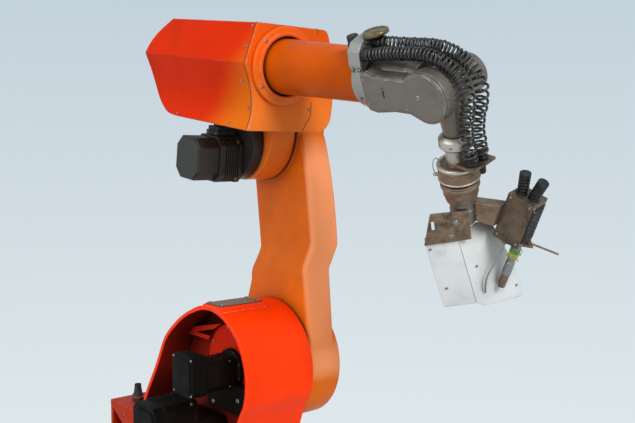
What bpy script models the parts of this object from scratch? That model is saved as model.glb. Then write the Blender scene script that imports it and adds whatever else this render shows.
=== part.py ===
"""Six-axis floor-mounted industrial robot arm with a welding tool, in metres, +Z up.

The origin is on the floor under the centre of the turning column. +X is the way the arm
reaches, and the link arm stands on the +Y side of the column.
"""

import math

import bmesh
import bpy
from mathutils import Vector

# Clearances
TOUCH_GAP = 0.0004
JOINT_GAP = 0.0055
PIN_GAP = 0.0006

# Axis layout
SHOULDER_X = 0.20
SHOULDER_Z = 0.70
ELBOW_X = 0.11
ELBOW_Z = 1.40
FOREARM_PITCH_DEG = 8.0
FOREARM_RISE = 0.2033
WRIST_REACH = 0.8895
WRIST_ROLL_DEG = 26.0
WRIST_BEND_DEG = 97.0
TOOL_ROLL_DEG = 42.33
TOOL_START = 0.236
LINK_LEAN = math.atan2(SHOULDER_X - ELBOW_X, ELBOW_Z - SHOULDER_Z)
LINK_LENGTH = math.hypot(SHOULDER_X - ELBOW_X, ELBOW_Z - SHOULDER_Z)

# Base
BASE_SIDE = 0.56
BASE_PLATE_T = 0.025
BASE_FOOT_R = 0.255
BASE_NECK_R = BASE_FOOT_R - 0.030
BASE_HEAD_R = BASE_FOOT_R + 0.013
BASE_TOP = 0.335
BOLT_R = 0.013
PANEL_SIZE = (0.10, 0.26, 0.20)

# Column
TURNTABLE_R = BASE_HEAD_R + 0.002
TURNTABLE_T = 0.052
TURNTABLE_Z = BASE_TOP + JOINT_GAP
COLUMN_FOOT = TURNTABLE_Z + TURNTABLE_T + TOUCH_GAP
COLUMN_FRONT = -0.090
COLUMN_BACK = 0.142
DRUM_R = 0.193
WALL_T = 0.013
POCKET_BACK = 0.018
GEAR_R = 0.132
PAD_Z = 0.8965

# Link arm
HUB_R = 0.176
HEAD_R = 0.160
LINK_LOW_Y = COLUMN_BACK + JOINT_GAP
LINK_HIGH_Y = 0.187
LINK_BACK_Y = 0.290

# Elbow
ELBOW_DRUM_R = 0.152
ELBOW_DRUM_BACK = LINK_HIGH_Y - JOINT_GAP
ELBOW_DRUM_FRONT = 0.098
HOUSE_FRONT = 0.305
HOUSE_SEAM = 0.296
COVER_REAR = -0.224
COVER_T = 0.005
HOUSE_TOP = 0.309
HOUSE_WIDE_N = 0.204
HOUSE_LOW = 0.030
MOTOR_DROP = 0.085
MOTOR_SIDE = 0.136
MOTOR_SPLIT = -0.020
MOTOR_END = -0.092

# Forearm, measured from the wrist centre back along the arm
TUBE_REAR = HOUSE_FRONT + JOINT_GAP - WRIST_REACH
TUBE_FRONT = -0.215
TUBE_REAR_R = 0.0720
TUBE_FRONT_R = 0.0640
RING_R = 0.104
RING_BORE_R = TUBE_REAR_R + 0.0065
HOUSING_R = 0.0600
COLLAR_REAR = -0.234
COLLAR_LEN = 0.038
CHEEK_OUT = 0.083
CHEEK_IN = 0.048
CHEEK_R = 0.058

# Hand and tool, measured from the wrist centre along the tool axis
HAND_HALF = CHEEK_IN - JOINT_GAP
HAND_R = 0.050
FLANGE_AT = 0.118
FLANGE_R = 0.0345
NECK_R = 0.0255
CUP_AT = 0.190
CUP_R = 0.049
BRACKET_AT = 0.172
BRACKET_T = 0.006
TOOL_R = 0.0455
SLEEVE_R = 0.030
SLEEVE_END = 0.352
HOSE_R = 0.0165

# Torch, in a frame turned in the tool's plane
TORCH_AT = (0.4344, 0.1238)
TORCH_LEAN_DEG = -21.3
TORCH_TWIST_DEG = 42.0
TORCH_R = 0.0115
TORCH_LEN = 0.100
BOX_HALF = 0.034
BOX_LEN = 0.121
BOX_SHIFT = -0.019
FACET_NORMAL = (-0.0794, 0.5429, 0.8360)
FACET_ROOT = (0.3757, -0.0203, 0.0285)
FACET = [(0.3757, -0.0203), (0.5805, 0.0085), (0.6020, 0.0300), (0.6400, 0.1335), (0.5983, 0.1319),
         (0.5264, 0.1118), (0.4600, 0.0922), (0.3863, 0.0661), (0.3660, 0.0300)]

PARTS = bpy.data.collections.new("industrial_robot_arm")
GUIDES = bpy.data.collections.new("cutters")

COLUMN_RED = ("column_red", (0.93, 0.09, 0.01), 0.42, 0.0)
ARM_ORANGE = ("arm_orange", (0.86, 0.16, 0.02), 0.40, 0.0)
LINK_ORANGE = ("link_orange", (0.82, 0.20, 0.03), 0.42, 0.0)
COVER_RED = ("cover_red", (0.75, 0.05, 0.01), 0.38, 0.0)
MOTOR_GREY = ("motor_grey", (0.028, 0.026, 0.025), 0.55, 0.3)
BLACK = ("black_rubber", (0.012, 0.012, 0.013), 0.60, 0.0)
CAST_ALUMINIUM = ("cast_aluminium", (0.30, 0.29, 0.28), 0.38, 1.0)
CLAMP_GREY = ("clamp_grey", (0.52, 0.53, 0.52), 0.45, 0.6)
STEEL = ("steel", (0.42, 0.42, 0.40), 0.35, 1.0)
BRASS = ("brass", (0.45, 0.32, 0.15), 0.35, 1.0)
SCORCHED = ("scorched_steel", (0.16, 0.11, 0.08), 0.55, 0.8)
PALE_PLATE = ("pale_plate", (0.62, 0.63, 0.62), 0.40, 0.7)


def clear_scene() -> None:
    """Empties the scene and links the two collections."""
    for item in list(bpy.data.objects):
        bpy.data.objects.remove(item, do_unlink=True)
    bpy.context.scene.collection.children.link(PARTS)
    bpy.context.scene.collection.children.link(GUIDES)


def material(spec):
    """Returns the Principled material of a (name, colour, roughness, metallic) row."""
    name, colour, roughness, metallic = spec
    found = bpy.data.materials.get(name)
    if found:
        return found
    made = bpy.data.materials.new(name)
    made.use_nodes = True
    shader = made.node_tree.nodes["Principled BSDF"]
    shader.inputs["Base Color"].default_value = (*colour, 1.0)
    shader.inputs["Roughness"].default_value = roughness
    shader.inputs["Metallic"].default_value = metallic
    made.diffuse_color = (*colour, 1.0)
    return made


def axis_frame(name, parent=None, location=(0, 0, 0), rotation=(0, 0, 0)):
    """Adds an empty whose origin is on a joint's axis."""
    empty = bpy.data.objects.new(name, None)
    empty.empty_display_size = 0.1
    empty.parent = parent
    empty.location = location
    empty.rotation_euler = rotation
    PARTS.objects.link(empty)
    return empty


def adopt(obj, name, spec=None):
    """Names an object, moves it to its collection and sets its material."""
    for collection in list(obj.users_collection):
        collection.objects.unlink(obj)
    obj.name = name
    obj.data.name = name
    if spec is None:
        GUIDES.objects.link(obj)
        obj.hide_render = True
        obj.display_type = "WIRE"
    else:
        PARTS.objects.link(obj)
        obj.data.materials.clear()
        obj.data.materials.append(material(spec))
    return obj


def place(obj, parent, location=(0, 0, 0), rotation=(0, 0, 0)):
    """Parents an object to a joint frame at a local place."""
    obj.parent = parent
    obj.location = location
    obj.rotation_euler = rotation
    return obj


def box(name, spec, parent, low, high):
    """A box between two corners of the joint frame."""
    size = [b - a for a, b in zip(low, high)]
    centre = [(a + b) / 2 for a, b in zip(low, high)]
    bpy.ops.mesh.primitive_cube_add(size=1.0)
    obj = adopt(bpy.context.object, name, spec)
    for vertex in obj.data.vertices:
        vertex.co = Vector([c * s for c, s in zip(vertex.co, size)])
    return place(obj, parent, centre)


AXIS_TURN = {"X": (0, math.pi / 2, 0), "Y": (-math.pi / 2, 0, 0), "Z": (0, 0, 0)}


def cylinder(name, spec, parent, radius, start, end, axis="Z", at=(0, 0), sides=48, radius_end=None):
    """A cylinder or cone from start to end along an axis; at holds the other two coordinates."""
    middle = (start + end) / 2
    places = {"X": (middle, at[0], at[1]), "Y": (at[0], middle, at[1]), "Z": (at[0], at[1], middle)}
    top = radius if radius_end is None else radius_end
    bpy.ops.mesh.primitive_cone_add(vertices=sides, radius1=radius, radius2=top, depth=end - start)
    obj = adopt(bpy.context.object, name, spec)
    smooth(obj)
    return place(obj, parent, places[axis], AXIS_TURN[axis])


def smooth(obj, angle=35.0):
    """Shades round faces smooth and keeps the sharp edges."""
    obj.data.shade_smooth()
    obj.data.set_sharp_from_angle(angle=math.radians(angle))


def mesh_from_curve(curve_obj, name, spec):
    """Turns a curve object into a welded mesh object."""
    PARTS.objects.link(curve_obj)
    bpy.context.view_layer.update()
    graph = bpy.context.evaluated_depsgraph_get()
    mesh = bpy.data.meshes.new_from_object(curve_obj.evaluated_get(graph))
    data = curve_obj.data
    bpy.data.objects.remove(curve_obj, do_unlink=True)
    bpy.data.curves.remove(data)
    work = bmesh.new()
    work.from_mesh(mesh)
    bmesh.ops.remove_doubles(work, verts=work.verts, dist=0.00001)
    bmesh.ops.recalc_face_normals(work, faces=work.faces)
    work.to_mesh(mesh)
    work.free()
    obj = bpy.data.objects.new(name, mesh)
    bpy.context.scene.collection.objects.link(obj)
    return adopt(obj, name, spec)


SECTION_TURN = {
    "X": (math.pi / 2, 0, math.pi / 2),
    "Y": (math.pi / 2, 0, 0),
    "Z": (0, 0, 0),
}


def prism(name, spec, parent, outlines, start, end, axis="Y", offset=(0, 0, 0)):
    """A flat outline (or outline and holes) drawn across an axis and carried along it.

    Points are (x, z) across Y, (y, z) across X and (x, y) across Z.
    """
    curve = bpy.data.curves.new(name + "_outline", "CURVE")
    curve.dimensions = "2D"
    curve.fill_mode = "BOTH"
    curve.extrude = (end - start) / 2
    for points in outlines:
        spline = curve.splines.new("POLY")
        spline.points.add(len(points) - 1)
        for slot, point in zip(spline.points, points):
            slot.co = (point[0], point[1], 0, 1)
        spline.use_cyclic_u = True
    obj = mesh_from_curve(bpy.data.objects.new(name + "_curve", curve), name, spec)
    smooth(obj)
    middle = (start + end) / 2
    shift = {"X": (middle, 0, 0), "Y": (0, middle, 0), "Z": (0, 0, middle)}[axis]
    return place(obj, parent, [a + b for a, b in zip(shift, offset)], SECTION_TURN[axis])


def turned(name, spec, parent, profile, axis="X", at=(0, 0), steps=40):
    """A turned solid: (radius, height) rows down its outer side, turned about an axis."""
    mesh = bpy.data.meshes.new(name)
    work = bmesh.new()
    rows = [work.verts.new((radius, 0, height)) for radius, height in profile]
    for first, second in zip(rows, rows[1:]):
        work.edges.new((first, second))
    work.to_mesh(mesh)
    work.free()
    obj = bpy.data.objects.new(name, mesh)
    bpy.context.scene.collection.objects.link(obj)
    adopt(obj, name, spec)
    screw = obj.modifiers.new("turn", "SCREW")
    screw.steps = steps
    screw.render_steps = steps
    screw.use_merge_vertices = True
    screw.merge_threshold = 0.00001
    screw.use_smooth_shade = True
    places = {"X": (0, at[0], at[1]), "Y": (at[0], 0, at[1]), "Z": (at[0], at[1], 0)}
    return place(obj, parent, places[axis], AXIS_TURN[axis])


def tube(name, spec, parent, points, radius, resolution=3):
    """A round rod or hose along points, with filled ends."""
    curve = bpy.data.curves.new(name, "CURVE")
    curve.dimensions = "3D"
    curve.bevel_depth = radius
    curve.bevel_resolution = resolution
    curve.use_fill_caps = True
    spline = curve.splines.new("POLY")
    spline.points.add(len(points) - 1)
    for slot, point in zip(spline.points, points):
        slot.co = (*point, 1)
    obj = mesh_from_curve(bpy.data.objects.new(name + "_curve", curve), name, spec)
    smooth(obj)
    return place(obj, parent)


def plate(name, spec, parent, points, thickness, shift=0.0):
    """A flat plate through 3D points of one plane, thick towards its back, moved back along X by the shift."""
    points = [Vector(point) - Vector((shift, 0, 0)) for point in points]
    normal = (points[1] - points[0]).cross(points[2] - points[0]).normalized()
    work = bmesh.new()
    face = work.faces.new([work.verts.new(point) for point in points])
    made = bmesh.ops.extrude_face_region(work, geom=[face])
    moved = [item for item in made["geom"] if isinstance(item, bmesh.types.BMVert)]
    bmesh.ops.translate(work, verts=moved, vec=normal * thickness)
    bmesh.ops.recalc_face_normals(work, faces=work.faces)
    mesh = bpy.data.meshes.new(name)
    work.to_mesh(mesh)
    work.free()
    obj = bpy.data.objects.new(name, mesh)
    bpy.context.scene.collection.objects.link(obj)
    return place(adopt(obj, name, spec), parent)


def spline_points(knots, count):
    """Points along a smooth curve through the knots (Catmull-Rom)."""
    knots = [Vector(k) for k in knots]
    padded = [knots[0] * 2 - knots[1], *knots, knots[-1] * 2 - knots[-2]]
    spans = len(knots) - 1
    found = []
    for step in range(count):
        place_on = step / (count - 1) * spans
        span = min(int(place_on), spans - 1)
        t = place_on - span
        a, b, c, d = padded[span:span + 4]
        part_b = (c - a) * t
        part_c = (a * 2 - b * 5 + c * 4 - d) * t * t
        part_d = (b * 3 - a - c * 3 + d) * t * t * t
        found.append(b + (part_b + part_c + part_d) * 0.5)
    return found


def join(obj, *others):
    """Unites other solids with an object."""
    for other in others:
        step = obj.modifiers.new("join", "BOOLEAN")
        step.operation = "UNION"
        step.object = other
    return obj


def cut(obj, *cutters):
    """Cuts other solids out of an object."""
    for cutter in cutters:
        step = obj.modifiers.new("cut", "BOOLEAN")
        step.operation = "DIFFERENCE"
        step.object = cutter
    return obj


def rounded(obj, width, segments=1, angle=40.0):
    """Rounds an object's sharp edges."""
    step = obj.modifiers.new("edges", "BEVEL")
    step.width = width
    step.segments = segments
    step.limit_method = "ANGLE"
    step.angle_limit = math.radians(angle)
    return obj


def arc(centre, radius, start_deg, end_deg, count):
    """Points of an arc, ends included."""
    found = []
    for step in range(count):
        angle = math.radians(start_deg + (end_deg - start_deg) * step / (count - 1))
        found.append((centre[0] + radius * math.cos(angle), centre[1] + radius * math.sin(angle)))
    return found


def corners(half_x, half_y, cut_size):
    """A rectangle with cut corners."""
    return [
        (half_x, -half_y + cut_size), (half_x, half_y - cut_size),
        (half_x - cut_size, half_y), (-half_x + cut_size, half_y),
        (-half_x, half_y - cut_size), (-half_x, -half_y + cut_size),
        (-half_x + cut_size, -half_y), (half_x - cut_size, -half_y),
    ]


def base(frame):
    """Foot plate, pedestal casting and rear connector panel."""
    half = BASE_SIDE / 2
    plate = prism("base_plate", COLUMN_RED, frame, [corners(half, half, 0.07)], 0, BASE_PLATE_T, "Z")
    for x in (-1, 1):
        for y in (-1, 1):
            at = (x * (half - 0.055), y * (half - 0.055))
            cut(plate, cylinder("foot_hole", None, frame, BOLT_R, -0.01, 0.04, "Z", at, 16))
    low = BASE_PLATE_T + TOUCH_GAP
    profile = [
        (0, BASE_TOP), (BASE_HEAD_R, BASE_TOP), (BASE_HEAD_R, BASE_TOP - 0.045),
        (BASE_NECK_R, BASE_TOP - 0.095), (BASE_FOOT_R - 0.02, low + 0.05),
        (BASE_FOOT_R, low + 0.02), (BASE_FOOT_R, low), (0, low),
    ]
    casting = turned("base_casting", COLUMN_RED, frame, profile, "Z", steps=44)
    depth, width, height = PANEL_SIZE
    rear = -BASE_FOOT_R - depth + 0.02
    panel = box("base_connector_box", COLUMN_RED, frame, (rear, -width / 2, 0.05),
                (-0.20, width / 2, 0.05 + height))
    cut(panel, turned("panel_fit", None, frame, [
        (0, BASE_TOP + 0.02), (BASE_HEAD_R + TOUCH_GAP, BASE_TOP + 0.02),
        (BASE_HEAD_R + TOUCH_GAP, BASE_TOP - 0.045), (BASE_NECK_R + TOUCH_GAP, BASE_TOP - 0.095),
        (BASE_FOOT_R - 0.02 + TOUCH_GAP, low + 0.05 + TOUCH_GAP),
        (BASE_FOOT_R + TOUCH_GAP, low + 0.02 + TOUCH_GAP), (BASE_FOOT_R + TOUCH_GAP, -0.02), (0, -0.02),
    ], "Z", steps=44))
    return plate, casting, panel


def column_outline(inset):
    """The column's arch seen from its open side, moved in by the inset."""
    left = [(-0.250, COLUMN_FOOT), (-0.189, 0.537), (-0.108, 0.665), (-0.052, 0.760),
            (0.014, 0.818), (0.070, 0.853)]
    right = [(0.352, 0.585), (0.318, 0.500), (0.262, COLUMN_FOOT)]
    left = [(x + inset * 0.87, z - inset * 0.5) for x, z in left]
    right = [(x - inset, z) for x, z in right]
    foot = COLUMN_FOOT + inset
    left[0] = (left[0][0], foot)
    right[-1] = (right[-1][0], foot)
    top = arc((SHOULDER_X, SHOULDER_Z), DRUM_R - inset, 112, -20, 18)
    return left + top + right


def column(frame):
    """Turntable, arched shell, ribs, gear disc, motors, top pad and rear box."""
    table = cylinder("turntable", COLUMN_RED, frame, TURNTABLE_R, TURNTABLE_Z, TURNTABLE_Z + TURNTABLE_T,
                     "Z", sides=64)
    join(table, cylinder("table_boss", None, frame, 0.190, BASE_TOP + PIN_GAP, TURNTABLE_Z + 0.01, "Z"))
    shell = prism("column_shell", COLUMN_RED, frame, [column_outline(0)], COLUMN_FRONT, COLUMN_BACK)
    pocket = prism("shell_pocket", None, frame, [column_outline(WALL_T)], COLUMN_FRONT - 0.05, POCKET_BACK)
    cut(shell, pocket)
    pad = box("shell_pad", None, frame, (0.172, -0.0895, 0.80), (0.265, 0.070, PAD_Z))
    pad_cut = prism("pad_cut", None, frame, [column_outline(WALL_T)], COLUMN_FRONT - 0.05, POCKET_BACK)
    boss = cylinder("shoulder_boss", None, frame, 0.110, COLUMN_BACK - 0.02, LINK_LOW_Y - PIN_GAP, "Y",
                    (SHOULDER_X, SHOULDER_Z))
    join(shell, pad, boss)
    cut(shell, pad_cut)
    box("column_top_plate", STEEL, frame, (0.179, -0.083, PAD_Z + TOUCH_GAP), (0.257, 0.062, PAD_Z + 0.0035))
    back = POCKET_BACK - TOUCH_GAP
    gear = cylinder("shoulder_gear_disc", COLUMN_RED, frame, GEAR_R, back - 0.022, back, "Y",
                    (SHOULDER_X, SHOULDER_Z), 48)
    cut(gear, box("gear_slot", None, frame, (0.175, back - 0.05, 0.785), (0.192, back - 0.010, 0.815)))
    face = back - 0.022 - TOUCH_GAP
    turned("shoulder_motor_ring", MOTOR_GREY, frame, [
        (0, -face + 0.020), (0.044, -face + 0.020), (0.058, -face + 0.012), (0.058, -face), (0, -face),
    ], "Y", (SHOULDER_X, SHOULDER_Z), 36).rotation_euler = (math.pi / 2, 0, 0)
    near = face - 0.020 - TOUCH_GAP
    motor = prism("shoulder_motor", MOTOR_GREY, frame,
                  [[(SHOULDER_X + x, SHOULDER_Z - 0.004 + z) for x, z in corners(0.046, 0.046, 0.014)]],
                  near - 0.105, near)
    end = near - 0.105
    join(motor, prism("motor_end", None, frame,
                      [[(SHOULDER_X + x, SHOULDER_Z + 0.006 + z) for x, z in corners(0.054, 0.058, 0.012)]],
                      end - 0.050, end + 0.002))
    rib = prism("column_rib", COLUMN_RED, frame,
                [[(-0.060, 0.766), (-0.060, 0.779), (0.180, 0.830), (0.180, 0.819), (0.010, 0.777), (0.120, 0.777),
                  (0.120, 0.766)]], back - 0.034, back)
    keep(rib, prism("rib_room", None, frame, [column_outline(WALL_T + TOUCH_GAP)], -0.2, POCKET_BACK))
    cut(rib, cylinder("rib_disc_fit", None, frame, GEAR_R + TOUCH_GAP, -0.2, 0.1, "Y", (SHOULDER_X, SHOULDER_Z), 48))
    motor_foot = COLUMN_FOOT + WALL_T + TOUCH_GAP
    prism("column_motor_seat", MOTOR_GREY, frame,
          [[(x + 0.050, z + 0.470) for x, z in corners(0.085, 0.470 - motor_foot, 0.012)]],
          -0.075, back)
    box("column_motor", MOTOR_GREY, frame, (-0.022, -0.222, 0.450), (0.122, -0.075 - TOUCH_GAP, 0.598))
    rounded(bpy.data.objects["column_motor"], 0.014, 2)
    bracket = box("rear_box", COLUMN_RED, frame, (-0.405, -0.100, TURNTABLE_Z + 0.012), (-0.240, 0.040, 0.4845))
    cut(bracket, cylinder("box_fit", None, frame, TURNTABLE_R + TOUCH_GAP, 0.30, COLUMN_FOOT, "Z", sides=64))
    outline = [(x - TOUCH_GAP, z) for x, z in column_outline(0)]
    cut(bracket, prism("box_shell_fit", None, frame, [outline], -0.2, 0.2))
    cut(bracket, prism("box_recess", None, frame,
                       [[(-0.393, 0.372), (-0.393, 0.462), (-0.318, 0.418), (-0.318, 0.372)]], -0.15, -0.060))
    gland = turned("rear_gland", BLACK, frame, [
        (0, 0.5425), (0.011, 0.5425), (0.011, 0.5265), (0.013, 0.5235), (0.013, 0.5135), (0.020, 0.5055),
        (0.020, 0.4845 + TOUCH_GAP), (0, 0.4845 + TOUCH_GAP),
    ], "Z", (-0.332, -0.035), 20)
    return shell, gland


def link_arm(frame):
    """The tall arm from the shoulder to the elbow, in its own leaning frame."""
    length = LINK_LENGTH
    front = [(0.172, 0.040), (0.176, 0.140), (0.180, 0.230), (0.184, 0.320), (0.187, 0.400), (0.1865, 0.480),
             (0.180, 0.570), (0.166, 0.665), (0.140, length)]
    rear = [(-0.120, length), (-0.098, 0.610), (-0.088, 0.560), (-0.088, 0.440), (-0.089, 0.330), (-0.098, 0.245),
            (-0.127, 0.190), (-0.160, 0.100), (-0.170, 0.030)]
    lower = prism("link_arm", LINK_ORANGE, frame, [front + rear + [(-0.10, -0.02), (0.10, -0.02)]],
                  LINK_LOW_Y - 0.01, LINK_BACK_Y + 0.01)
    depth = [(LINK_LOW_Y, -0.05), (LINK_LOW_Y, 0.275), (LINK_HIGH_Y, 0.345), (LINK_HIGH_Y, length + 0.05),
             (LINK_BACK_Y, length + 0.05), (LINK_BACK_Y, 0.335), (0.250, 0.265), (0.250, -0.05)]
    keep(lower, prism("link_depth", None, frame, [depth], -0.3, 0.3, "X"))
    hub = cylinder("link_hub", None, frame, HUB_R, LINK_LOW_Y, 0.262, "Y", (0, 0), 56)
    head = cylinder("link_head", None, frame, HEAD_R, LINK_HIGH_Y, LINK_BACK_Y, "Y", (0, length), 56)
    join(lower, hub, head)
    cylinder("link_hub_cap", LINK_ORANGE, frame, 0.120, 0.262 + TOUCH_GAP, 0.276, "Y", (0, 0), 40)
    cylinder("link_head_cap", LINK_ORANGE, frame, 0.112, LINK_BACK_Y + TOUCH_GAP, LINK_BACK_Y + 0.014, "Y",
             (0, length), 40)
    return lower


def house_section(inset, bottom):
    """The elbow housing's section across the arm."""
    return [
        (-0.096 + inset, bottom), (-0.092 + inset, 0.100), (-0.095 + inset, 0.135), (-0.122 + inset, HOUSE_WIDE_N),
        (-0.0925 + inset, HOUSE_TOP - inset), (0.132 - inset, HOUSE_TOP - inset), (0.148 - inset, 0.290),
        (0.172 - inset, HOUSE_WIDE_N), (0.181 - inset, 0.130), (0.181 - inset, 0.075), (0.170 - inset, 0.046),
        (0.150 - inset, bottom),
    ]


def cover_side(inset):
    """The rear cover seen from the side, moved in by the inset."""
    r = COVER_REAR + inset
    return [
        (HOUSE_SEAM + 0.1, -0.05 + inset), (-0.036, -0.05), (-0.036, HOUSE_LOW + inset), (-0.098, 0.034 + inset),
        (-0.140 + inset, 0.050 + inset), (-0.181 + inset, 0.078), (-0.200 + inset, 0.110), (r, HOUSE_WIDE_N),
        (-0.214 + inset, 0.232), (-0.190 + inset, 0.261 - inset), (-0.160 + inset, 0.284 - inset),
        (-0.122, HOUSE_TOP + 0.001 - inset), (-0.122, HOUSE_TOP + 0.05), (HOUSE_SEAM + 0.1, HOUSE_TOP + 0.05),
    ]


def elbow(frame):
    """Elbow casting with its drum, rear cover, front ring and the elbow motor."""
    front = prism("elbow_casting", ARM_ORANGE, frame, [house_section(0, HOUSE_LOW)],
                  HOUSE_SEAM + TOUCH_GAP, HOUSE_FRONT, "X")
    spine = box("spine", None, frame, (-0.060, -0.080, 0.060), (HOUSE_SEAM + 0.004, 0.110, 0.270))
    floor = prism("house_floor", None, frame,
                  [[(-0.030, -0.088), (-0.030, 0.135), (HOUSE_SEAM + 0.004, 0.135), (HOUSE_SEAM + 0.004, -0.088)]],
                  HOUSE_LOW, 0.066, "Z")
    drum = cylinder("elbow_drum", None, frame, ELBOW_DRUM_R, ELBOW_DRUM_FRONT, ELBOW_DRUM_BACK, "Y",
                    (0, 0), 56)
    throat = box("throat", None, frame, (-0.025, ELBOW_DRUM_FRONT + 0.001, 0.0), (0.120, 0.130, 0.050))
    boss = cylinder("elbow_boss", None, frame, 0.105, ELBOW_DRUM_BACK - 0.02, LINK_HIGH_Y - PIN_GAP, "Y")
    neck = cylinder("wrist_axis_boss", None, frame, 0.048, HOUSE_FRONT - 0.01,
                    WRIST_REACH + TUBE_REAR - PIN_GAP, "X", (0, FOREARM_RISE), 36)
    join(front, spine, floor, drum, throat, boss, neck)
    cover = prism("rear_cover", COVER_RED, frame, [house_section(0, HOUSE_LOW)], COVER_REAR - 0.01,
                  HOUSE_SEAM, "X")
    inner = prism("cover_inside", None, frame, [house_section(COVER_T, HOUSE_LOW - 0.05)],
                  COVER_REAR - 0.05, HOUSE_SEAM + 0.05, "X")
    trim = prism("cover_trim", None, frame, [cover_side(0)], -0.3, 0.3)
    inner_trim = prism("inner_trim", None, frame, [cover_side(COVER_T)], -0.3, 0.3)
    keep(cover, trim)
    keep(inner, inner_trim)
    cut(cover, inner)
    cut(cover, cylinder("drum_clear", None, frame, ELBOW_DRUM_R + 0.002, ELBOW_DRUM_FRONT - 0.004,
                        0.30, "Y", (0, 0), 56))
    ring_front = HOUSE_FRONT + 0.018
    ring = prism("wrist_axis_ring", ARM_ORANGE, frame,
                 [arc((0, FOREARM_RISE), RING_R, 0, 352.5, 48), arc((0, FOREARM_RISE), RING_BORE_R, 0, 352.5, 48)],
                 HOUSE_FRONT + TOUCH_GAP, ring_front, "X")
    rounded(ring, 0.006, 2)
    centre = (0, -MOTOR_DROP)
    prism("elbow_motor_flange", MOTOR_GREY, frame, [arc((0, -0.036), 0.114, 146, 394, 34)], 0.062,
          ELBOW_DRUM_FRONT - TOUCH_GAP)
    half = MOTOR_SIDE / 2
    motor = prism("elbow_motor", MOTOR_GREY, frame,
                  [[(centre[0] + x, centre[1] + z) for x, z in corners(half, half, 0.022)]],
                  MOTOR_SPLIT, 0.062 - TOUCH_GAP)
    prism("elbow_motor_end", MOTOR_GREY, frame,
          [[(centre[0] + x, centre[1] + z) for x, z in corners(half - 0.006, half - 0.006, 0.026)]],
          MOTOR_END, MOTOR_SPLIT - TOUCH_GAP)
    top = centre[1] + half
    box("elbow_motor_plug", BLACK, frame, (-0.030, -0.012, top + TOUCH_GAP), (0.030, 0.054, top + 0.026))
    return front, motor


def keep(obj, other):
    """Keeps only what lies inside another solid."""
    step = obj.modifiers.new("keep", "BOOLEAN")
    step.operation = "INTERSECT"
    step.object = other


def forearm(frame):
    """The turning tube, its collar and the wrist fork, along +X of the wrist frame."""
    turned("forearm_tube", ARM_ORANGE, frame, [
        (0, TUBE_FRONT), (TUBE_FRONT_R, TUBE_FRONT), (TUBE_REAR_R, TUBE_REAR + 0.034), (TUBE_REAR_R, TUBE_REAR),
        (0, TUBE_REAR),
    ], "X", steps=44)
    wrist_rear = TUBE_FRONT + TOUCH_GAP
    body = turned("wrist_housing", CAST_ALUMINIUM, frame, [
        (0, -0.066), (0.046, -0.066), (0.056, -0.090), (HOUSING_R, -0.150), (HOUSING_R, wrist_rear), (0, wrist_rear),
    ], "X", steps=40)
    cheek = arc((0, 0), CHEEK_R, -112, 108, 22) + [
        (-0.038, 0.050), (-0.053, 0.040), (-0.148, 0.041), (-0.170, 0.049), (-0.190, 0.040), (-0.190, -0.034),
        (-0.182, -0.045), (-0.158, -0.0494), (-0.0965, -0.0406), (-0.052, -0.041)]
    near = prism("cheek_near", None, frame, [cheek], -CHEEK_OUT + 0.007, -CHEEK_IN)
    inner = arc((0, 0), CHEEK_R - 0.014, -100, 100, 22) + [(-0.060, 0.036), (-0.180, 0.036), (-0.180, -0.036),
                                                         (-0.060, -0.036)]
    far = prism("cheek_far", None, frame, [inner], CHEEK_IN, CHEEK_OUT - 0.012)
    web = box("cheek_web", None, frame, (-0.180, -0.070, -0.036), (-0.080, 0.070, 0.036))
    join(body, near, far, web)
    prism("wrist_side_plate", CAST_ALUMINIUM, frame, [[(x * 0.985, z * 0.975) for x, z in cheek]],
          -CHEEK_OUT, -CHEEK_OUT + 0.007 - TOUCH_GAP)
    collar_front = COLLAR_REAR + COLLAR_LEN
    collar = prism("wrist_collar", CLAMP_GREY, frame,
                   [arc((0, 0), 0.073, 0, 352.5, 48), arc((0, 0), 0.0652, 0, 352.5, 48)],
                   COLLAR_REAR, collar_front, "X")
    clamp = [(0.015, 0.107), (-0.020, 0.107), (-0.046, 0.101), (-0.062, 0.084), (-0.066, 0.055), (-0.062, 0.030),
             (-0.030, 0.045), (0.030, 0.060)]
    join(collar, prism("collar_block", None, frame, [clamp], COLLAR_REAR, collar_front, "X"))
    cut(collar, cylinder("collar_bore", None, frame, 0.0652, COLLAR_REAR - 0.02, collar_front + 0.02, "X",
                         (0, 0), 48))
    cylinder("collar_cap", BRASS, frame, 0.031, 0.107 + TOUCH_GAP, 0.116, "Z",
             (COLLAR_REAR + 0.046, -0.006), 32)
    gland = cylinder("tube_gland", BLACK, frame, 0.016, 0.050, 0.106, "Z", (COLLAR_REAR - 0.024, -0.016), 20)
    slope = (TUBE_REAR_R - TUBE_FRONT_R) / (TUBE_FRONT - TUBE_REAR - 0.034)
    near = TUBE_FRONT_R + slope * (TUBE_FRONT - COLLAR_REAR) + TOUCH_GAP
    far = near + slope * 0.06
    cut(gland, cylinder("gland_fit", None, frame, far, COLLAR_REAR - 0.06, COLLAR_REAR, "X", (0, 0), 44, near))
    return body


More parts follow.
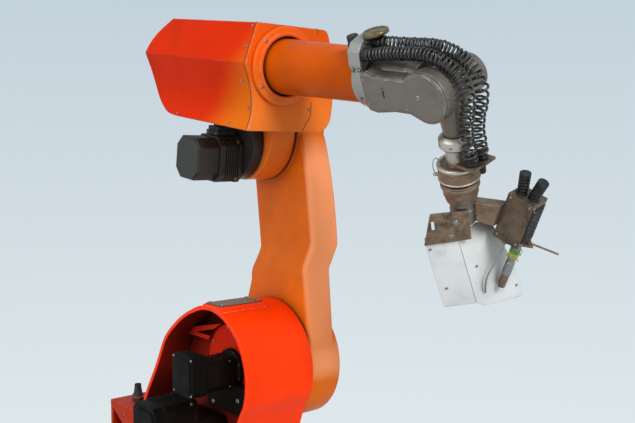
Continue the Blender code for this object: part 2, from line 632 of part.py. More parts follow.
def hand(frame):
    """The bending hand, its flange, neck and swivel cup, along +X of the hand frame."""
    knuckle = cylinder("hand_body", CAST_ALUMINIUM, frame, HAND_R, -HAND_HALF, HAND_HALF, "Y", (0, 0), 40)
    stem = cylinder("hand_stem", None, frame, 0.042, 0.0, FLANGE_AT, "X", (0, 0), 36, 0.026)
    pin = cylinder("wrist_pin", None, frame, 0.030, PIN_GAP - CHEEK_IN, CHEEK_IN - PIN_GAP, "Y", (0, 0), 32)
    join(knuckle, stem, pin)
    turned("hand_flange", CAST_ALUMINIUM, frame, [
        (0, CUP_AT), (NECK_R, CUP_AT), (NECK_R, FLANGE_AT + 0.036), (FLANGE_R, FLANGE_AT + 0.026),
        (FLANGE_R, FLANGE_AT + 0.006), (FLANGE_R - 0.006, FLANGE_AT + TOUCH_GAP), (0, FLANGE_AT + TOUCH_GAP),
    ], "X", steps=36)
    turned("swivel_cup", SCORCHED, frame, [
        (0, TOOL_START + 0.002 - PIN_GAP), (0.030, TOOL_START + 0.002 - PIN_GAP), (0.030, TOOL_START - 0.0035),
        (CUP_R - 0.002, TOOL_START - 0.0035), (CUP_R, CUP_AT + 0.012),
        (CUP_R, CUP_AT + TOUCH_GAP), (0, CUP_AT + TOUCH_GAP),
    ], "X", steps=36)
    box("hose_bracket", SCORCHED, frame, (BRACKET_AT, -0.040, NECK_R + TOUCH_GAP),
        (BRACKET_AT + BRACKET_T, 0.034, 0.080))
    return knuckle


def wrist_hoses(frame):
    """The two curly hoses from the collar to the cup's bracket, as fat tubes of their outer size."""
    start = COLLAR_REAR + COLLAR_LEN + TOUCH_GAP
    bend = math.radians(WRIST_BEND_DEG)
    along = Vector((math.cos(bend), 0, -math.sin(bend)))
    outward = Vector((math.sin(bend), 0, math.cos(bend)))
    upper = [(start, -0.004, 0.0875), (start + 0.012, -0.004, 0.0875), (-0.125, 0.006, 0.0820),
             (-0.079, 0.008, 0.0815), (-0.034, 0.008, 0.0815), (0.003, 0.008, 0.0765), (0.038, 0.008, 0.0620),
             (0.062, 0.008, 0.0410), (0.076, 0.008, 0.0150), (0.078, 0.008, -0.0140), (0.066, 0.008, -0.0500),
             (0.053, 0.008, -0.0800), (0.045, 0.010, -0.1150)]
    lower = [(start, -0.045, 0.0725), (start + 0.012, -0.045, 0.0725), (-0.125, -0.040, 0.0780),
             (-0.079, -0.037, 0.0790), (-0.034, -0.034, 0.0790), (0.001, -0.034, 0.0745), (0.036, -0.034, 0.0610),
             (0.060, -0.034, 0.0400), (0.073, -0.034, 0.0140), (0.074, -0.033, -0.0150), (0.062, -0.031, -0.0500),
             (0.050, -0.028, -0.0800), (0.044, -0.026, -0.1150)]
    for name, knots, side in (("coil_hose_upper", upper, 0.014), ("coil_hose_lower", lower, -0.022)):
        foot = along * (BRACKET_AT - TOUCH_GAP) + outward * 0.060 + Vector((0, side, 0))
        lead = foot - along * 0.015
        route = [Vector(knots[0]), *spline_points([*knots[1:], lead], 27), foot]
        tube(name, BLACK, frame, route, HOSE_R, 3)


def tool(frame):
    """The welding tool: swivel body, brackets, shield plates, torch box and torch."""
    d = TOOL_START
    turned("tool_body", SCORCHED, frame, [
        (0, 0.290 - d), (0.036, 0.290 - d), (0.040, 0.272 - d), (0.041, 0.256 - d),
        (TOOL_R, 0.250 - d), (TOOL_R, 0.002), (0, 0.002),
    ], "X", steps=36)
    cylinder("tool_sleeve", CAST_ALUMINIUM, frame, SLEEVE_R, 0.290 + TOUCH_GAP - d, SLEEVE_END - d, "X", (0, 0), 32)
    back = SLEEVE_R + TOUCH_GAP
    bracket = prism("tool_bracket", SCORCHED, frame, [[
        (0.2996 - d, -0.0782), (0.3836 - d, -0.1000), (0.3836 - d, 0.010), (0.305 - d, 0.010)]],
                    back, back + 0.004, "Z")
    cut(bracket, box("bracket_slot", None, frame, (0.320 - d, -0.0785, 0.0), (0.345 - d, -0.0715, 0.06)))
    face = back - TOUCH_GAP
    left = [(0.366 - d, -0.0985), (0.4365 - d, -0.0919), (0.579 - d, -0.0722), (0.580 - d, 0.0066),
            (0.3757 - d, -0.0222), (0.360 - d, -0.0245)]
    shield = prism("shield_left", PALE_PLATE, frame, [left], face - 0.003, face, "Z")
    n = FACET_NORMAL
    facet = [(t, r, FACET_ROOT[2] - (n[0] * (t - FACET_ROOT[0]) + n[1] * (r - FACET_ROOT[1])) / n[2])
             for t, r in FACET]
    plate("shield_right", PALE_PLATE, frame, facet, -0.0025, d)
    torch_frame = axis_frame("torch_frame", frame, (TORCH_AT[0] - d, TORCH_AT[1], 0),
                             (0, 0, math.radians(TORCH_LEAN_DEG)))
    twist = axis_frame("torch_twist", torch_frame, (0, BOX_SHIFT, 0), (math.radians(TORCH_TWIST_DEG), 0, 0))
    arm = prism("torch_arm", SCORCHED, frame, [[
        (0.296 - d, 0.020), (0.345 - d, 0.020), (0.395 - d, 0.110), (0.330 - d, 0.120)]], -0.015, 0.015, "Z")
    cut(arm, cylinder("arm_fit", None, frame, SLEEVE_R + TOUCH_GAP, -0.1, 0.3, "X", (0, 0), 32))
    end = -0.006
    g = TOUCH_GAP
    cut(arm, box("arm_box_fit", None, twist, (end - BOX_LEN - 0.1, -BOX_HALF - g, -BOX_HALF - g),
                 (end + 0.1, BOX_HALF + 0.1, BOX_HALF + 0.1)))
    box("torch_box", SCORCHED, twist, (end - BOX_LEN, -BOX_HALF, -BOX_HALF), (end, BOX_HALF, BOX_HALF))
    box("torch_box_side", BLACK, twist, (end - BOX_LEN + 0.020, -BOX_HALF + 0.012, -BOX_HALF - 0.011),
        (end - 0.006, BOX_HALF - 0.002, -BOX_HALF - g))
    foot = box("torch_box_foot", SCORCHED, torch_frame, (end + g, -0.046, -0.022), (-g, 0.030, 0.022))
    join(foot, tube("foot_prong", None, torch_frame, [(-0.0032, 0.015, 0.0), (0.018, 0.106, 0.0)], 0.0026, 3))
    tube("torch_body", STEEL, torch_frame, [(0, 0, 0), (TORCH_LEN, 0, 0)], TORCH_R, 4)
    tube("torch_nozzle", SCORCHED, torch_frame, [(TORCH_LEN + g, 0, 0), (TORCH_LEN + 0.036, 0, 0)],
         TORCH_R - 0.0015, 4)
    guide = [(0.006, -0.030, 0.0), (0.035, -0.035, 0.006), (0.064, -0.0414, 0.011), (0.1024, -0.0489, 0.018),
             (0.128, -0.046, 0.020), (0.151, -0.0386, 0.018)]
    tube("wire_guide", STEEL, torch_frame, [Vector((0, -0.030, 0.0)), *spline_points(guide, 16)], 0.0024, 2)
    top = end - BOX_LEN - g
    for name, y, lean in (("torch_plug_left", -0.016, -0.006), ("torch_plug_right", 0.016, 0.010)):
        knots = [(top - 0.008, y, 0.004), (top - 0.026, y + lean * 0.4, 0.006), (top - 0.052, y + lean, 0.010)]
        tube(name, BLACK, twist, [Vector((top, y, 0.004)), *spline_points(knots, 7)], 0.0135, 3)
    return shield, foot


def build() -> None:
    """Builds every piece under its joint frame."""
    clear_scene()
    base_frame = axis_frame("base_frame")
    base(base_frame)
    column_frame = axis_frame("axis_1", base_frame)
    column(column_frame)
    link_frame = axis_frame("axis_2", column_frame, (SHOULDER_X, 0, SHOULDER_Z), (0, -LINK_LEAN, 0))
    link_arm(link_frame)
    pitch = math.radians(FOREARM_PITCH_DEG)
    elbow_frame = axis_frame("axis_3", link_frame, (0, 0, LINK_LENGTH), (0, LINK_LEAN + pitch, 0))
    elbow(elbow_frame)
    forearm_frame = axis_frame("axis_4", elbow_frame, (WRIST_REACH, 0, FOREARM_RISE),
                               (math.radians(WRIST_ROLL_DEG), 0, 0))
    forearm(forearm_frame)
    wrist_hoses(forearm_frame)
    hand_frame = axis_frame("axis_5", forearm_frame, (0, 0, 0), (0, math.radians(WRIST_BEND_DEG), 0))
    hand(hand_frame)
    tool_frame = axis_frame("axis_6", hand_frame, (TOOL_START, 0, 0), (math.radians(TOOL_ROLL_DEG), 0, 0))
    tool(tool_frame)
    bpy.context.view_layer.update()


build()
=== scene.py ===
"""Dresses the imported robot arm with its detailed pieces, finishes, light and camera.

Every piece is built in metres in the joint frame that carries it, at rest, and rides on its body.
"""
import logging
import math
from dataclasses import dataclass, field
from enum import Enum
from typing import Iterable, Optional, Sequence

import bmesh
import bpy
from mathutils import Matrix, Vector


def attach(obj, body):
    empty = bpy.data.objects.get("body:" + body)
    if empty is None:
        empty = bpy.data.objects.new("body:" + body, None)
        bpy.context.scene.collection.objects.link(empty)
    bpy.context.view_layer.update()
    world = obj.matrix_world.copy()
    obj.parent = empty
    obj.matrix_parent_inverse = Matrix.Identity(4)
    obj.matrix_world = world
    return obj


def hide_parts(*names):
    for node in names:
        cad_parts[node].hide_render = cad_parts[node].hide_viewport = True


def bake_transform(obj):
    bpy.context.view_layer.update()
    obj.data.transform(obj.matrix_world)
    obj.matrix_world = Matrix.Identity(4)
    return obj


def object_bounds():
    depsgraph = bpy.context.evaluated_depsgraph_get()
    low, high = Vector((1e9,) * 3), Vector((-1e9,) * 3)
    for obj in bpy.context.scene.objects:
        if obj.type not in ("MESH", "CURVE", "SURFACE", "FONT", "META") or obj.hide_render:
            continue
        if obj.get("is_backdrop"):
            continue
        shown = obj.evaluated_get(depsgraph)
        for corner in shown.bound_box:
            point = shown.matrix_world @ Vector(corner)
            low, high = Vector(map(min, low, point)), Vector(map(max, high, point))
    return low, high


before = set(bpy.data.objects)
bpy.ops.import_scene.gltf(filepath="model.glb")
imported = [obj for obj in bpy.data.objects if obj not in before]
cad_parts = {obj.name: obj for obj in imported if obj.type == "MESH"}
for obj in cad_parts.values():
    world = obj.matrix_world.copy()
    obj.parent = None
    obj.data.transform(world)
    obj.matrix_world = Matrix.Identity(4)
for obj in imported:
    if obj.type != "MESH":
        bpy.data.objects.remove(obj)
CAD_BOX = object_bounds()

LOG = logging.getLogger("robot_arm")

Pair = tuple[float, float]
Triple = tuple[float, float, float]

# Directions, in whichever frame a piece is built
ORIGIN: Triple = (0.0, 0.0, 0.0)
AHEAD: Triple = (1.0, 0.0, 0.0)
BEHIND: Triple = (-1.0, 0.0, 0.0)
FAR_SIDE: Triple = (0.0, 1.0, 0.0)
NEAR_SIDE: Triple = (0.0, -1.0, 0.0)
UP: Triple = (0.0, 0.0, 1.0)

# The joint frames at rest, as the solids have them
SHOULDER_SPOT: Pair = (0.20, 0.70)
SHOULDER_AT: Triple = (SHOULDER_SPOT[0], 0.0, SHOULDER_SPOT[1])
SHOULDER = Vector(SHOULDER_AT)
ELBOW = Vector((0.11, 0.0, 1.40))
LEAN = math.atan2(SHOULDER.x - ELBOW.x, ELBOW.z - SHOULDER.z)
LINK_LENGTH = math.hypot(SHOULDER.x - ELBOW.x, ELBOW.z - SHOULDER.z)
FOREARM_RISE = 0.2033
WRIST_REACH = 0.8895
TOOL_START = 0.236
HOUSE_FRONT = 0.305
BEND = math.radians(97.0)
FOREARM_PITCH = math.radians(8.0)
WRIST_ROLL = math.radians(26.0)
TOOL_ROLL = math.radians(42.33)
TORCH_FOOT: Triple = (0.4344, 0.1238, 0.0)
TORCH_LEAN = math.radians(-21.3)
TORCH_BOX_DROP = -0.019
TORCH_BOX_ROLL = math.radians(42.0)

AT_WORLD = Matrix.Identity(4)
AT_LINK = Matrix.Translation(SHOULDER) @ Matrix.Rotation(-LEAN, 4, "Y")
AT_ELBOW = (AT_LINK @ Matrix.Translation((0, 0, LINK_LENGTH))
            @ Matrix.Rotation(LEAN + FOREARM_PITCH, 4, "Y"))
AT_WRIST = (AT_ELBOW @ Matrix.Translation((WRIST_REACH, 0, FOREARM_RISE))
            @ Matrix.Rotation(WRIST_ROLL, 4, "X"))
AT_HAND = AT_WRIST @ Matrix.Rotation(BEND, 4, "Y")
AT_TOOL = AT_HAND @ Matrix.Translation((TOOL_START, 0, 0)) @ Matrix.Rotation(TOOL_ROLL, 4, "X")
AT_TORCH = (AT_TOOL @ Matrix.Translation((TORCH_FOOT[0] - TOOL_START, TORCH_FOOT[1], TORCH_FOOT[2]))
            @ Matrix.Rotation(TORCH_LEAN, 4, "Z"))
AT_TORCH_BOX = (AT_TORCH @ Matrix.Translation((0, TORCH_BOX_DROP, 0))
                @ Matrix.Rotation(TORCH_BOX_ROLL, 4, "X"))


def linear(code: str) -> tuple[float, float, float, float]:
    """Turns a screen colour code into linear light.

    Args:
        code: Six hexadecimal digits.

    Returns:
        Red, green, blue and a full alpha.
    """
    parts = [int(code[i:i + 2], 16) / 255 for i in (0, 2, 4)]
    r, g, b = (c / 12.92 if c <= 0.04045 else ((c + 0.055) / 1.055) ** 2.4 for c in parts)
    return r, g, b, 1.0


class Surface(Enum):
    """The kinds of surface that the arm has."""

    PAINT = "paint"
    CAST = "cast"
    MACHINED = "machined"
    RUBBER = "rubber"
    SCORCHED = "scorched"
    SHEET = "sheet"


class NodeBench:
    """Adds and joins the shader nodes of one material."""

    def __init__(self, name: str) -> None:
        """Starts a material with its Principled shader.

        Args:
            name: The material's name.
        """
        self.material = bpy.data.materials.new(name)
        self.material.use_nodes = True
        self.tree = self.material.node_tree
        self.shader = self.tree.nodes["Principled BSDF"]
        self.place = self.add("ShaderNodeTexCoord").outputs["Object"]
        self.rounded: Optional[bpy.types.NodeSocket] = None

    def add(self, kind: str, **settings: object) -> bpy.types.Node:
        """Adds a node.

        Args:
            kind: The node's type name.
            settings: Properties to set on it.

        Returns:
            The new node.
        """
        node = self.tree.nodes.new(kind)
        for key, value in settings.items():
            setattr(node, key, value)
        return node

    def join(self, source: bpy.types.NodeSocket, target: bpy.types.NodeSocket) -> None:
        """Links two sockets."""
        self.tree.links.new(source, target)

    def drive(self, socket: str, source: bpy.types.NodeSocket) -> None:
        """Links a value to one of the shader's own sockets."""
        self.join(source, self.shader.inputs[socket])

    def noise(self, scale: float, detail: float = 4.0, rough: float = 0.55,
              stretch: Optional[Triple] = None) -> bpy.types.NodeSocket:
        """Adds a noise over the surface.

        Args:
            scale: Turns per metre.
            detail: Octaves.
            rough: Share of the fine octaves.
            stretch: Scale along each axis, for grain.

        Returns:
            The noise factor.
        """
        node = self.add("ShaderNodeTexNoise")
        node.inputs["Scale"].default_value = scale
        node.inputs["Detail"].default_value = detail
        node.inputs["Roughness"].default_value = rough
        source = self.place
        if stretch:
            mapping = self.add("ShaderNodeMapping")
            mapping.inputs["Scale"].default_value = stretch
            self.join(source, mapping.inputs["Vector"])
            source = mapping.outputs["Vector"]
        self.join(source, node.inputs["Vector"])
        return node.outputs["Fac"]

    def ramp(self, source: bpy.types.NodeSocket, low: float, high: float,
             start: float = 0.0, end: float = 1.0) -> bpy.types.NodeSocket:
        """Maps a value from one span to another, smoothly and clamped.

        Args:
            source: The value.
            low: Its lower end.
            high: Its upper end.
            start: The result at the lower end.
            end: The result at the upper end.

        Returns:
            The mapped value.
        """
        node = self.add("ShaderNodeMapRange", interpolation_type="SMOOTHSTEP")
        for key, value in (("From Min", low), ("From Max", high), ("To Min", start), ("To Max", end)):
            node.inputs[key].default_value = value
        self.join(source, node.inputs["Value"])
        return node.outputs["Result"]

    def times(self, first: bpy.types.NodeSocket, second: bpy.types.NodeSocket) -> bpy.types.NodeSocket:
        """Multiplies two values.

        Args:
            first: One value.
            second: The other.

        Returns:
            Their product.
        """
        node = self.add("ShaderNodeMath", operation="MULTIPLY")
        self.join(first, node.inputs[0])
        self.join(second, node.inputs[1])
        return node.outputs[0]

    def tint(self, base: object, other: Sequence[float],
             factor: bpy.types.NodeSocket) -> bpy.types.NodeSocket:
        """Mixes a colour over another.

        Args:
            base: The colour or the socket below.
            other: The colour on top.
            factor: How much of it shows.

        Returns:
            The mixed colour.
        """
        node = self.add("ShaderNodeMix", data_type="RGBA")
        if isinstance(base, bpy.types.NodeSocket):
            self.join(base, node.inputs["A"])
        else:
            node.inputs["A"].default_value = base
        node.inputs["B"].default_value = other
        self.join(factor, node.inputs["Factor"])
        return node.outputs["Result"]

    def along(self, axis: Triple, low: float, high: float) -> bpy.types.NodeSocket:
        """A value that rises from 0 to 1 along a direction of the arm at rest.

        Args:
            axis: The direction.
            low: Distance along it where the rise starts.
            high: Distance along it where it ends.

        Returns:
            The value.
        """
        dot = self.add("ShaderNodeVectorMath", operation="DOT_PRODUCT")
        dot.inputs[1].default_value = axis
        self.join(self.place, dot.inputs[0])
        return self.ramp(dot.outputs["Value"], low, high)

    def bump(self, height: bpy.types.NodeSocket, strength: float, distance: float,
             under: Optional[bpy.types.NodeSocket] = None) -> bpy.types.NodeSocket:
        """Turns a height into a bumped normal.

        Args:
            height: The height value.
            strength: Share of the effect.
            distance: Height in metres at 1.
            under: A normal that this one lies on.

        Returns:
            The normal.
        """
        node = self.add("ShaderNodeBump")
        node.inputs["Strength"].default_value = strength
        node.inputs["Distance"].default_value = distance
        self.join(height, node.inputs["Height"])
        if under or self.rounded:
            self.join(under or self.rounded, node.inputs["Normal"])
        return node.outputs["Normal"]

    def soften(self, radius: float) -> None:
        """Rounds the shading of sharp edges.

        Args:
            radius: The rounding's radius in metres.
        """
        node = self.add("ShaderNodeBevel", samples=6)
        node.inputs["Radius"].default_value = radius
        self.rounded = node.outputs["Normal"]

    def shade_in_corners(self, distance: float) -> bpy.types.NodeSocket:
        """A value that falls from 1 in the open to 0 in deep corners, where painted shade goes.

        Args:
            distance: How far a face looks for others, in metres.

        Returns:
            The value.
        """
        node = self.add("ShaderNodeAmbientOcclusion", samples=6)
        node.inputs["Distance"].default_value = distance
        return node.outputs["AO"]

    def edges(self) -> bpy.types.NodeSocket:
        """A value that is 1 on sharp edges and 0 on flat faces.

        Returns:
            The value.
        """
        node = self.add("ShaderNodeVectorMath", operation="DOT_PRODUCT")
        self.join(self.rounded, node.inputs[0])
        self.join(self.add("ShaderNodeNewGeometry").outputs["Normal"], node.inputs[1])
        return self.ramp(node.outputs["Value"], 0.86, 0.99, 1.0, 0.0)


@dataclass(frozen=True)
class Glow:
    """A second colour that the finish turns to along a direction of the arm at rest; on the orange and red
    paints it is painted light.
    """

    code: str
    axis: Triple
    low: float
    high: float
    share: float = 1.0


@dataclass(frozen=True)
class Finish:
    """One finish of the arm: its colour, gloss, surface and wear, with painted shade in corners and an
    optional glow.
    """

    slot: str
    code: str
    surface: Surface
    roughness: float = 0.42
    metallic: float = 0.0
    wear: float = 0.5
    soot: float = 0.3
    wear_code: str = "B9B3AC"
    edge: float = 0.003
    gloss: float = 0.5
    shade: float = 0.35
    depth: float = 0.06
    glow: Optional[Glow] = None
    label: str = ""

    @property
    def name(self) -> str:
        """The material's name."""
        return self.label or self.slot

    def material(self) -> bpy.types.Material:
        """Returns the material, made on first use."""
        found = bpy.data.materials.get("dress_" + self.name)
        return found or self.make()

    def make(self) -> bpy.types.Material:
        """Builds the material's nodes.

        Returns:
            The new material.
        """
        bench = NodeBench("dress_" + self.name)
        bench.soften(self.edge)
        base = linear(self.code)
        dark = tuple(c * 0.80 for c in base[:3]) + (1.0,)
        broad = bench.ramp(bench.noise(5.0, 5.0), 0.35, 0.70)
        colour = bench.tint(base, dark, broad)
        # Where a glow is given, the colour turns to it along one direction at rest; on the orange and red
        # paints this is painted light.
        if self.glow:
            rise = bench.along(self.glow.axis, self.glow.low, self.glow.high)
            share = bench.ramp(bench.noise(3.0, 3.0), 0.2, 0.8, self.glow.share, self.glow.share * 0.9)
            rise = bench.times(rise, share)
            colour = bench.tint(colour, linear(self.glow.code), rise)
        build = {
            Surface.PAINT: self.paint, Surface.CAST: self.cast, Surface.MACHINED: self.machined,
            Surface.RUBBER: self.rubber, Surface.SCORCHED: self.scorched, Surface.SHEET: self.sheet,
        }[self.surface]
        build(bench, colour)
        bench.shader.inputs["Metallic"].default_value = self.metallic
        bench.shader.inputs["Specular IOR Level"].default_value = self.gloss
        return bench.material

    def worn_and_shaded(self, bench: NodeBench, colour: bpy.types.NodeSocket) -> bpy.types.NodeSocket:
        """Adds rubbed edges, soot and painted shade in corners to a colour.

        Args:
            bench: The material's bench.
            colour: The clean colour.

        Returns:
            The rubbed and sooty colour with its painted shade.
        """
        rub = bench.times(bench.edges(), bench.ramp(bench.noise(60.0, 6.0, 0.7), 0.42, 0.66, 0.0, self.wear))
        colour = bench.tint(colour, linear(self.wear_code), rub)
        # Painted shade: deep corners are darkened towards near-black brown by the finish's shade share.
        corner_shade = bench.ramp(bench.shade_in_corners(self.depth), 0.25, 0.95, self.shade, 0.0)
        colour = bench.tint(colour, linear("1C120D"), corner_shade)
        dirt = bench.times(bench.ramp(bench.noise(9.0, 9.0, 0.68), 0.50, 0.78, 0.0, self.soot),
                           bench.ramp(bench.noise(34.0, 6.0, 0.7), 0.30, 0.70))
        return bench.tint(colour, linear("2A2018"), dirt)

    def paint(self, bench: NodeBench, colour: bpy.types.NodeSocket) -> None:
        """Satin paint with an orange-peel skin, chips, soot and painted shade in corners.

        Args:
            bench: The material's bench.
            colour: The clean colour.
        """
        chips = bench.ramp(bench.noise(150.0, 5.0, 0.75), 0.70, 0.74, 0.0, 0.75 * self.wear)
        chips = bench.times(chips, bench.ramp(bench.noise(7.0, 3.0), 0.50, 0.68))
        colour = bench.tint(self.worn_and_shaded(bench, colour), linear("5A4A40"), chips)
        bench.drive("Base Color", colour)
        rough = bench.ramp(bench.noise(22.0, 6.0), 0.3, 0.75, self.roughness - 0.07, self.roughness + 0.12)
        bench.drive("Roughness", rough)
        peel = bench.bump(bench.noise(420.0, 2.0), 0.10, 0.0008)
        bench.drive("Normal", bench.bump(bench.noise(12.0, 3.0), 0.05, 0.004, peel))

    def cast(self, bench: NodeBench, colour: bpy.types.NodeSocket) -> None:
        """Sand-cast metal with a fine pebbled skin and rubbed edges.

        Args:
            bench: The material's bench.
            colour: The clean colour.
        """
        bench.drive("Base Color", self.worn_and_shaded(bench, colour))
        rough = bench.ramp(bench.noise(30.0, 6.0), 0.3, 0.75, self.roughness - 0.08, self.roughness + 0.14)
        bench.drive("Roughness", rough)
        grain = bench.bump(bench.noise(700.0, 3.0, 0.6), 0.22, 0.0006)
        bench.drive("Normal", bench.bump(bench.noise(40.0, 4.0), 0.10, 0.002, grain))

    def machined(self, bench: NodeBench, colour: bpy.types.NodeSocket) -> None:
        """Turned or milled metal with fine tool lines.

        Args:
            bench: The material's bench.
            colour: The clean colour.
        """
        bench.drive("Base Color", self.worn_and_shaded(bench, colour))
        lines = bench.noise(90.0, 3.0, 0.6, (1.0, 1.0, 14.0))
        bench.drive("Roughness", bench.ramp(lines, 0.3, 0.7, self.roughness - 0.08, self.roughness + 0.10))
        bench.drive("Normal", bench.bump(lines, 0.10, 0.0003))

    def rubber(self, bench: NodeBench, colour: bpy.types.NodeSocket) -> None:
        """Black plastic or rubber with dust in its fine grain.

        Args:
            bench: The material's bench.
            colour: The clean colour.
        """
        dust = bench.ramp(bench.noise(26.0, 8.0, 0.7), 0.48, 0.80, 0.0, 0.30)
        bench.drive("Base Color", bench.tint(colour, linear("7D7871"), dust))
        bench.drive("Roughness", bench.ramp(bench.noise(45.0, 5.0), 0.3, 0.7, self.roughness - 0.08,
                                            self.roughness + 0.14))
        bench.drive("Normal", bench.bump(bench.noise(900.0, 2.0), 0.12, 0.0004))

    def scorched(self, bench: NodeBench, colour: bpy.types.NodeSocket) -> None:
        """Steel browned by heat, with soot, scale, weld spatter and painted shade in corners.

        Args:
            bench: The material's bench.
            colour: The clean colour.
        """
        scale_spots = bench.ramp(bench.noise(38.0, 8.0, 0.7), 0.40, 0.66)
        patches = bench.ramp(bench.noise(11.0, 4.0), 0.3, 0.7, 0.25, 0.85)
        colour = bench.tint(colour, linear("241C17"), bench.times(scale_spots, patches))
        pale = bench.ramp(bench.noise(20.0, 7.0, 0.7), 0.56, 0.76, 0.0, 0.55)
        colour = bench.tint(colour, linear("A39282"), pale)
        bench.drive("Base Color", self.worn_and_shaded(bench, colour))
        bench.drive("Roughness", bench.ramp(bench.noise(28.0, 6.0), 0.3, 0.7, self.roughness - 0.14,
                                            self.roughness + 0.18))
        spatter = bench.add("ShaderNodeTexVoronoi")
        spatter.inputs["Scale"].default_value = 210.0
        bench.join(bench.place, spatter.inputs["Vector"])
        drops = bench.ramp(spatter.outputs["Distance"], 0.10, 0.34, 1.0, 0.0)
        under = bench.bump(bench.noise(160.0, 6.0, 0.7), 0.35, 0.0012)
        bench.drive("Normal", bench.bump(drops, 0.25, 0.0012, under))

    def sheet(self, bench: NodeBench, colour: bpy.types.NodeSocket) -> None:
        """Rolled sheet with a faint grain, smears and spatter spots.

        Args:
            bench: The material's bench.
            colour: The clean colour.
        """
        smear = bench.ramp(bench.noise(14.0, 7.0, 0.7), 0.52, 0.76, 0.0, 0.40)
        colour = bench.tint(colour, linear("8E8C86"), smear)
        spots = bench.ramp(bench.noise(260.0, 3.0, 0.6), 0.70, 0.75, 0.0, 0.7)
        colour = bench.tint(colour, linear("4B463F"), spots)
        bench.drive("Base Color", self.worn_and_shaded(bench, colour))
        bench.drive("Roughness", bench.ramp(bench.noise(18.0, 5.0), 0.3, 0.7, self.roughness - 0.06,
                                            self.roughness + 0.16))
        bench.drive("Normal", bench.bump(bench.noise(55.0, 3.0, 0.5, (1.0, 1.0, 9.0)), 0.12, 0.0005))


COLUMN_RED = Finish("column_red", "F93A02", Surface.PAINT, 0.40, soot=0.14, gloss=0.10, edge=0.004)
# Painted shade: a darker copy of the column red for the pocket's walls and floor, with strong shade in its
# corners.
SHADED_BAY_RED = Finish("column_red", "B82404", Surface.PAINT, 0.50, soot=0.50, gloss=0.05, shade=0.86, depth=0.24,
                 label="bay_red_painted_shade")
# Painted shade: a darker copy of the column red for the gear disc and rib inside the pocket.
SHADED_DISC_RED = Finish("column_red", "CE2202", Surface.PAINT, 0.46, soot=0.25, gloss=0.05, shade=0.45,
                  label="disc_red_painted_shade")
# Painted light: the housing turns lighter orange towards its bottom, as if lit from below.
ARM_ORANGE = Finish("arm_orange", "EE5C06", Surface.PAINT, 0.36, soot=0.12, gloss=0.12, edge=0.005,
                    glow=Glow("F08A34", (0.0, 0.0, -1.0), -1.60, -1.40, 0.65))
# Painted shade: a darker copy of the arm orange for the turning tube.
SHADED_TUBE_ORANGE = Finish("arm_orange", "C85202", Surface.PAINT, 0.36, soot=0.22, gloss=0.06, label="tube_orange_painted_shade")
# Painted highlight: the link's front face turns pale peach.
LINK_ORANGE = Finish("link_orange", "DE6A0E", Surface.PAINT, 0.38, soot=0.14, gloss=0.12, shade=0.6,
                     glow=Glow("F8A878", (0.9918, 0.0, 0.1275), 0.450, 0.466, 0.62))
# Painted light: the cover turns orange towards its lower front.
COVER_RED = Finish("cover_red", "D62C00", Surface.PAINT, 0.38, soot=0.10, gloss=0.03, edge=0.006,
                   glow=Glow("DE7410", (0.70, 0.0, -0.714), -0.90, -0.76, 0.85))
MOTOR_GREY = Finish("motor_grey", "2F2C29", Surface.PAINT, 0.46, 0.15, wear_code="6A645C", soot=0.4,
                    gloss=0.35)
# Painted shade: a near-black copy of the motor grey for the parts deep in the column's pocket.
SHADED_BAY_MOTOR = Finish("motor_grey", "0B0A09", Surface.PAINT, 0.50, 0.0, wear_code="2E2A26", soot=0.4, gloss=0.06,
                   shade=0.8, depth=0.2, label="bay_motor_painted_shade")
BLACK_RUBBER = Finish("black_rubber", "18181A", Surface.RUBBER, 0.50, gloss=0.35)
HOSE_BLACK = Finish("black_rubber", "2A2724", Surface.RUBBER, 0.26, gloss=0.6, label="hose_black")
CAST_ALUMINIUM = Finish("cast_aluminium", "7C756B", Surface.CAST, 0.38, 0.72, wear_code="E0DCD4", soot=0.45)
BRIGHT_ALUMINIUM = Finish("cast_aluminium", "C6BFB2", Surface.MACHINED, 0.38, 0.85, wear_code="E6E2DA",
                          soot=0.3, label="bright_aluminium")
CLAMP_GREY = Finish("clamp_grey", "A3A29B", Surface.CAST, 0.36, 0.7, wear_code="E2E1DC", soot=0.45)
STEEL = Finish("steel", "9C9C98", Surface.MACHINED, 0.32, 0.9, wear_code="D5D5D0", soot=0.3)
TOP_PLATE = Finish("steel", "7A5E42", Surface.MACHINED, 0.46, 0.35, wear_code="A88B62", soot=0.6, gloss=0.3,
                   label="top_plate")
# Painted shade: a darker copy of the column red for the rear box, standing for the hose's shadow on it.
SHADED_BOX_RED = Finish("column_red", "B8300A", Surface.PAINT, 0.44, soot=0.35, gloss=0.06, edge=0.004,
                 label="box_red_painted_shade")
BOX_STEEL = Finish("scorched_steel", "6E5B49", Surface.SCORCHED, 0.46, 0.5, wear_code="A39686",
                   label="box_steel")
BRASS = Finish("brass", "7E6A48", Surface.MACHINED, 0.30, 0.9, wear_code="D8CCB0", soot=0.75)
SCORCHED = Finish("scorched_steel", "8A735E", Surface.SCORCHED, 0.46, 0.6, wear_code="B3A798")
PALE_PLATE = Finish("pale_plate", "E6EAE9", Surface.SHEET, 0.38, 0.2, wear_code="F2F2F0",
                    glow=Glow("8B7866", UP, 1.105, 1.175, 0.95))
SCREW_STEEL = Finish("steel", "8B8882", Surface.MACHINED, 0.34, 0.9, wear_code="CFCDC6", label="screw_steel")
GLAND_RED = Finish("column_red", "8E2A16", Surface.RUBBER, 0.45, label="gland_ring")
WIRE_GREEN = Finish("black_rubber", "5F9A3A", Surface.RUBBER, 0.38, label="wire_green")
WIRE_YELLOW = Finish("black_rubber", "C7C23C", Surface.RUBBER, 0.38, label="wire_yellow")
VENT_BLACK = Finish("black_rubber", "1E1513", Surface.RUBBER, 0.50, gloss=0.3, label="vent_black")


